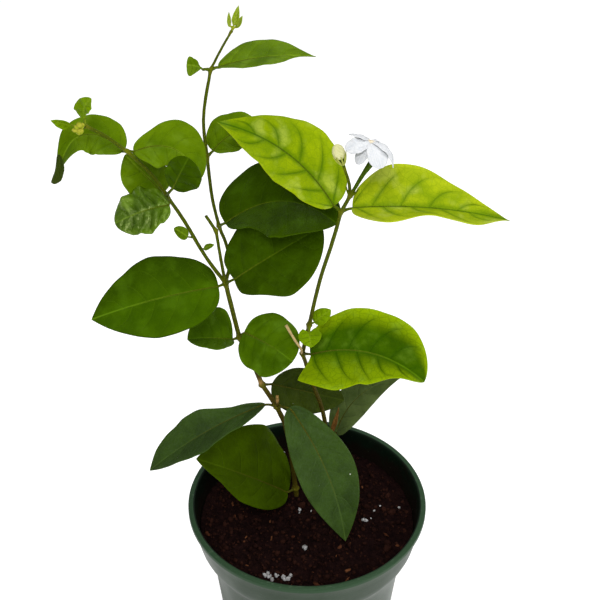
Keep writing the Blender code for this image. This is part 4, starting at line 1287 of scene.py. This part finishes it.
CRUMBS = Litter("soil_crumbs", PEAT, (1.0, 0.8, 0.7), 0.35, 0.2)
FLECKS = Litter("soil_bark_flecks", BARK, (1.6, 0.7, 0.25), 0.9, 0.35)
GRAINS = Litter("soil_perlite_grains", PERLITE, (1.0, 0.85, 0.8), 0.5, 0.45)


@dataclass
class Soil:
    """Potting soil: a bed of clods, loose crumbs, bark flecks and grains of perlite."""

    top: float = 122.0
    radius: float = 69.0
    side: tuple[tuple[float, float], ...] = (
        (67.0, 113.6), (62.6, 106.6), (59.8, 99.0), (54.5, 50.0), (49.2, 4.6)
    )
    cells: int = 190
    crumbs: int = 1500
    flecks: int = 44
    strewn: float = 66.0
    grain_limit: float = 67.0
    grain_spots: tuple[tuple[float, float, int, float], ...] = (
        (-25.0, -47.5, 7, 5.0), (-18.5, -48.0, 8, 4.0), (-13.5, -51.0, 5, 3.0), (0.0, 6.0, 5, 6.0),
        (40.0, -2.0, 5, 5.0), (-2.5, -26.0, 2, 3.0), (46.5, 9.0, 2, 4.0), (-18.0, 62.0, 3, 2.5),
        (62.0, 9.0, 2, 4.0),
    )
    seed: int = 11

    def height(self, x: float, y: float) -> float:
        """Give the bed's top at a place."""
        spot = Vector((x, y, 0.0))
        bumps = 1.5 * noise.noise(spot * 0.07) + 0.9 * noise.noise(spot * 0.23)
        lumps = 0.8 * noise.noise(spot * 0.55) + 0.4 * noise.noise(spot * 1.2)
        mound = 1.6 * math.exp(-((x - 2) ** 2 + (y - 26) ** 2) / 500)
        return self.top + bumps + lumps + mound

    def sides(self) -> list[Callable[[], object]]:
        """Give the edit steps that draw the bed's rim down inside the pot, one level at a time."""
        radius, height, steps = self.radius, self.top, []
        for wider, lower in self.side:
            size = (wider / radius, wider / radius, 0.0)
            drop = {"value": (0, 0, lower - height)}
            steps.append(partial(bpy.ops.mesh.extrude_region_move, TRANSFORM_OT_translate=drop))
            steps.append(partial(bpy.ops.transform.resize, value=size, center_override=(0, 0, lower)))
            radius, height = wider, lower
        return steps

    def bed(self) -> None:
        """Build the bed: a round top with clods, and its sides down inside the pot."""
        grid = partial(bpy.ops.mesh.primitive_grid_add, x_subdivisions=self.cells, y_subdivisions=self.cells)
        bed = added(grid, size=2)
        flat = points_of(bed)
        x = flat[:, 0] * np.sqrt(1 - flat[:, 1] ** 2 / 2) * self.radius
        y = flat[:, 1] * np.sqrt(1 - flat[:, 0] ** 2 / 2) * self.radius
        set_points(bed, np.stack([x, y, [self.height(a, b) for a, b in zip(x, y)]], 1))
        select_none = partial(bpy.ops.mesh.select_all, action="DESELECT")
        rim, close = bpy.ops.mesh.select_non_manifold, bpy.ops.mesh.edge_face_add
        in_edit(bed, select_none, rim, *self.sides(), close, SELECT_ALL, FACE_OUTWARD)
        keep_vectors(bed, "lump_tint", 0, 0, 0)
        grown(bed, "soil_bed", "soil", PEAT)

    def scatter(self, kind: Litter, spots: Sequence[tuple[float, float]], sizes: Sequence[float]) -> None:
        """Build loose lumps on the bed.

        Args:
            kind: What they are.
            spots: Where they lie.
            sizes: Their radii.
        """
        lump = added(bpy.ops.mesh.primitive_ico_sphere_add, subdivisions=1, radius=1.0)
        shape = points_of(lump) * np.array(kind.shape)
        faces = np.array([tuple(face.vertices) for face in lump.data.polygons])
        bpy.data.objects.remove(lump)
        random = np.random.default_rng(self.seed + len(kind.name))
        points, tints = [], []
        for (x, y), size in zip(spots, sizes):
            turn, _ = np.linalg.qr(random.normal(size=(3, 3)))
            if np.linalg.det(turn) < 0:
                turn[:, 0] *= -1
            rough = shape * (1 + random.uniform(-0.3, 0.3, (len(shape), 1)))
            points.append(rough @ turn.T * size + (x, y, self.height(x, y) + size * kind.rise))
            tints += [random.uniform(0, kind.tint)] * len(shape)
        all_faces = [faces + k * len(shape) for k in range(len(points))]
        data = bpy.data.meshes.new(kind.name)
        data.from_pydata(np.concatenate(points).tolist(), [], np.concatenate(all_faces).tolist())
        lumps = bpy.data.objects.new(kind.name, data)
        bpy.context.scene.collection.objects.link(lumps)
        keep_vectors(lumps, "lump_tint", tints, tints, tints)
        grown(lumps, kind.name, "soil", kind.finish, stands=False)

    def strew(self, kind: Litter, random: np.random.Generator, count: int, least: float) -> None:
        """Scatter lumps all over the bed, none smaller than the least size."""
        out = self.strewn * np.sqrt(random.uniform(0, 1, count))
        turn = random.uniform(0, math.tau, count)
        spots = list(zip(out * np.cos(turn), out * np.sin(turn)))
        self.scatter(kind, spots, random.gamma(3.0, 0.28, count) + least)

    def build(self) -> None:
        """Build the bed and what lies on it."""
        self.bed()
        random = np.random.default_rng(self.seed)
        self.strew(CRUMBS, random, self.crumbs, 0.25)
        self.strew(FLECKS, random, self.flecks, 0.4)
        spots = []
        for x, y, count, wide in self.grain_spots:
            for _ in range(count):
                spots.append((x + random.normal() * wide * 0.5, y + random.normal() * wide * 0.3))
        spots = [spot for spot in spots if math.hypot(*spot) < self.grain_limit]
        self.scatter(GRAINS, spots, random.uniform(0.4, 1.0, len(spots)) ** 2 * 1.7 + 0.2)


# The studio


@dataclass
class Studio:
    """A pale floor, soft lights and the camera at the photograph's angle."""

    camera_place: Point = (-4.5, -597.8, 737.4)
    camera_tilt: float = 36.28
    lens: float = 78.0
    sky: float = 0.36
    aim: Point = (0, 0, 250)
    lamps: tuple[tuple[str, Point, float, float], ...] = (
        ("key_light", (-150, -1000, 1500), 700, 15.5),
        ("fill_light", (1100, -600, 900), 900, 8),
        ("top_light", (100, 300, 1500), 800, 6),
    )

    def lamp(self, name: str, place: Point, size: float, power: float) -> None:
        """Hang a square soft light that faces the plant."""
        lamp = added(bpy.ops.object.light_add, type="AREA", location=[c * MM for c in place])
        lamp.name = name
        lamp.data.size = size * MM
        lamp.data.energy = power
        lamp.rotation_euler = (Vector(self.aim) - Vector(place)).to_track_quat("-Z", "Y").to_euler()

    def build(self) -> None:
        """Build the studio."""
        floor = added(bpy.ops.mesh.primitive_plane_add, size=12, location=(0, 0, -0.0003))
        floor.name = "studio_floor"
        floor.data.materials.append(PAPER.material())
        world = bpy.data.worlds.new("studio_sky")
        world.use_nodes = True
        background = world.node_tree.nodes["Background"].inputs
        background["Color"].default_value = (1.0, 1.0, 1.0, 1.0)
        background["Strength"].default_value = self.sky
        bpy.context.scene.world = world
        for lamp in self.lamps:
            self.lamp(*lamp)
        camera = added(bpy.ops.object.camera_add, location=[c * MM for c in self.camera_place])
        camera.name = "photo_camera"
        camera.rotation_euler = (math.radians(90 - self.camera_tilt), 0.0, 0.0)
        camera.data.lens = self.lens
        camera.data.sensor_width = 36.0
        camera.data.clip_start = 0.01
        bpy.context.scene.camera = camera
        bpy.context.scene.view_settings.view_transform = "Standard"


def main() -> None:
    """Build every sub-assembly in turn."""
    logging.basicConfig(level=logging.INFO, format="%(name)s: %(message)s")
    noise.seed_set(NOISE_SEED)
    stems = Stem("stem_left", LEFT_RUNS), Stem("stem_right", RIGHT_RUNS)
    for assembly in (Studio(), Pot(), Soil(), *stems, Foliage(), Bloom(), Tips()):
        assembly.build()


if __name__ == "__main__":
    main()
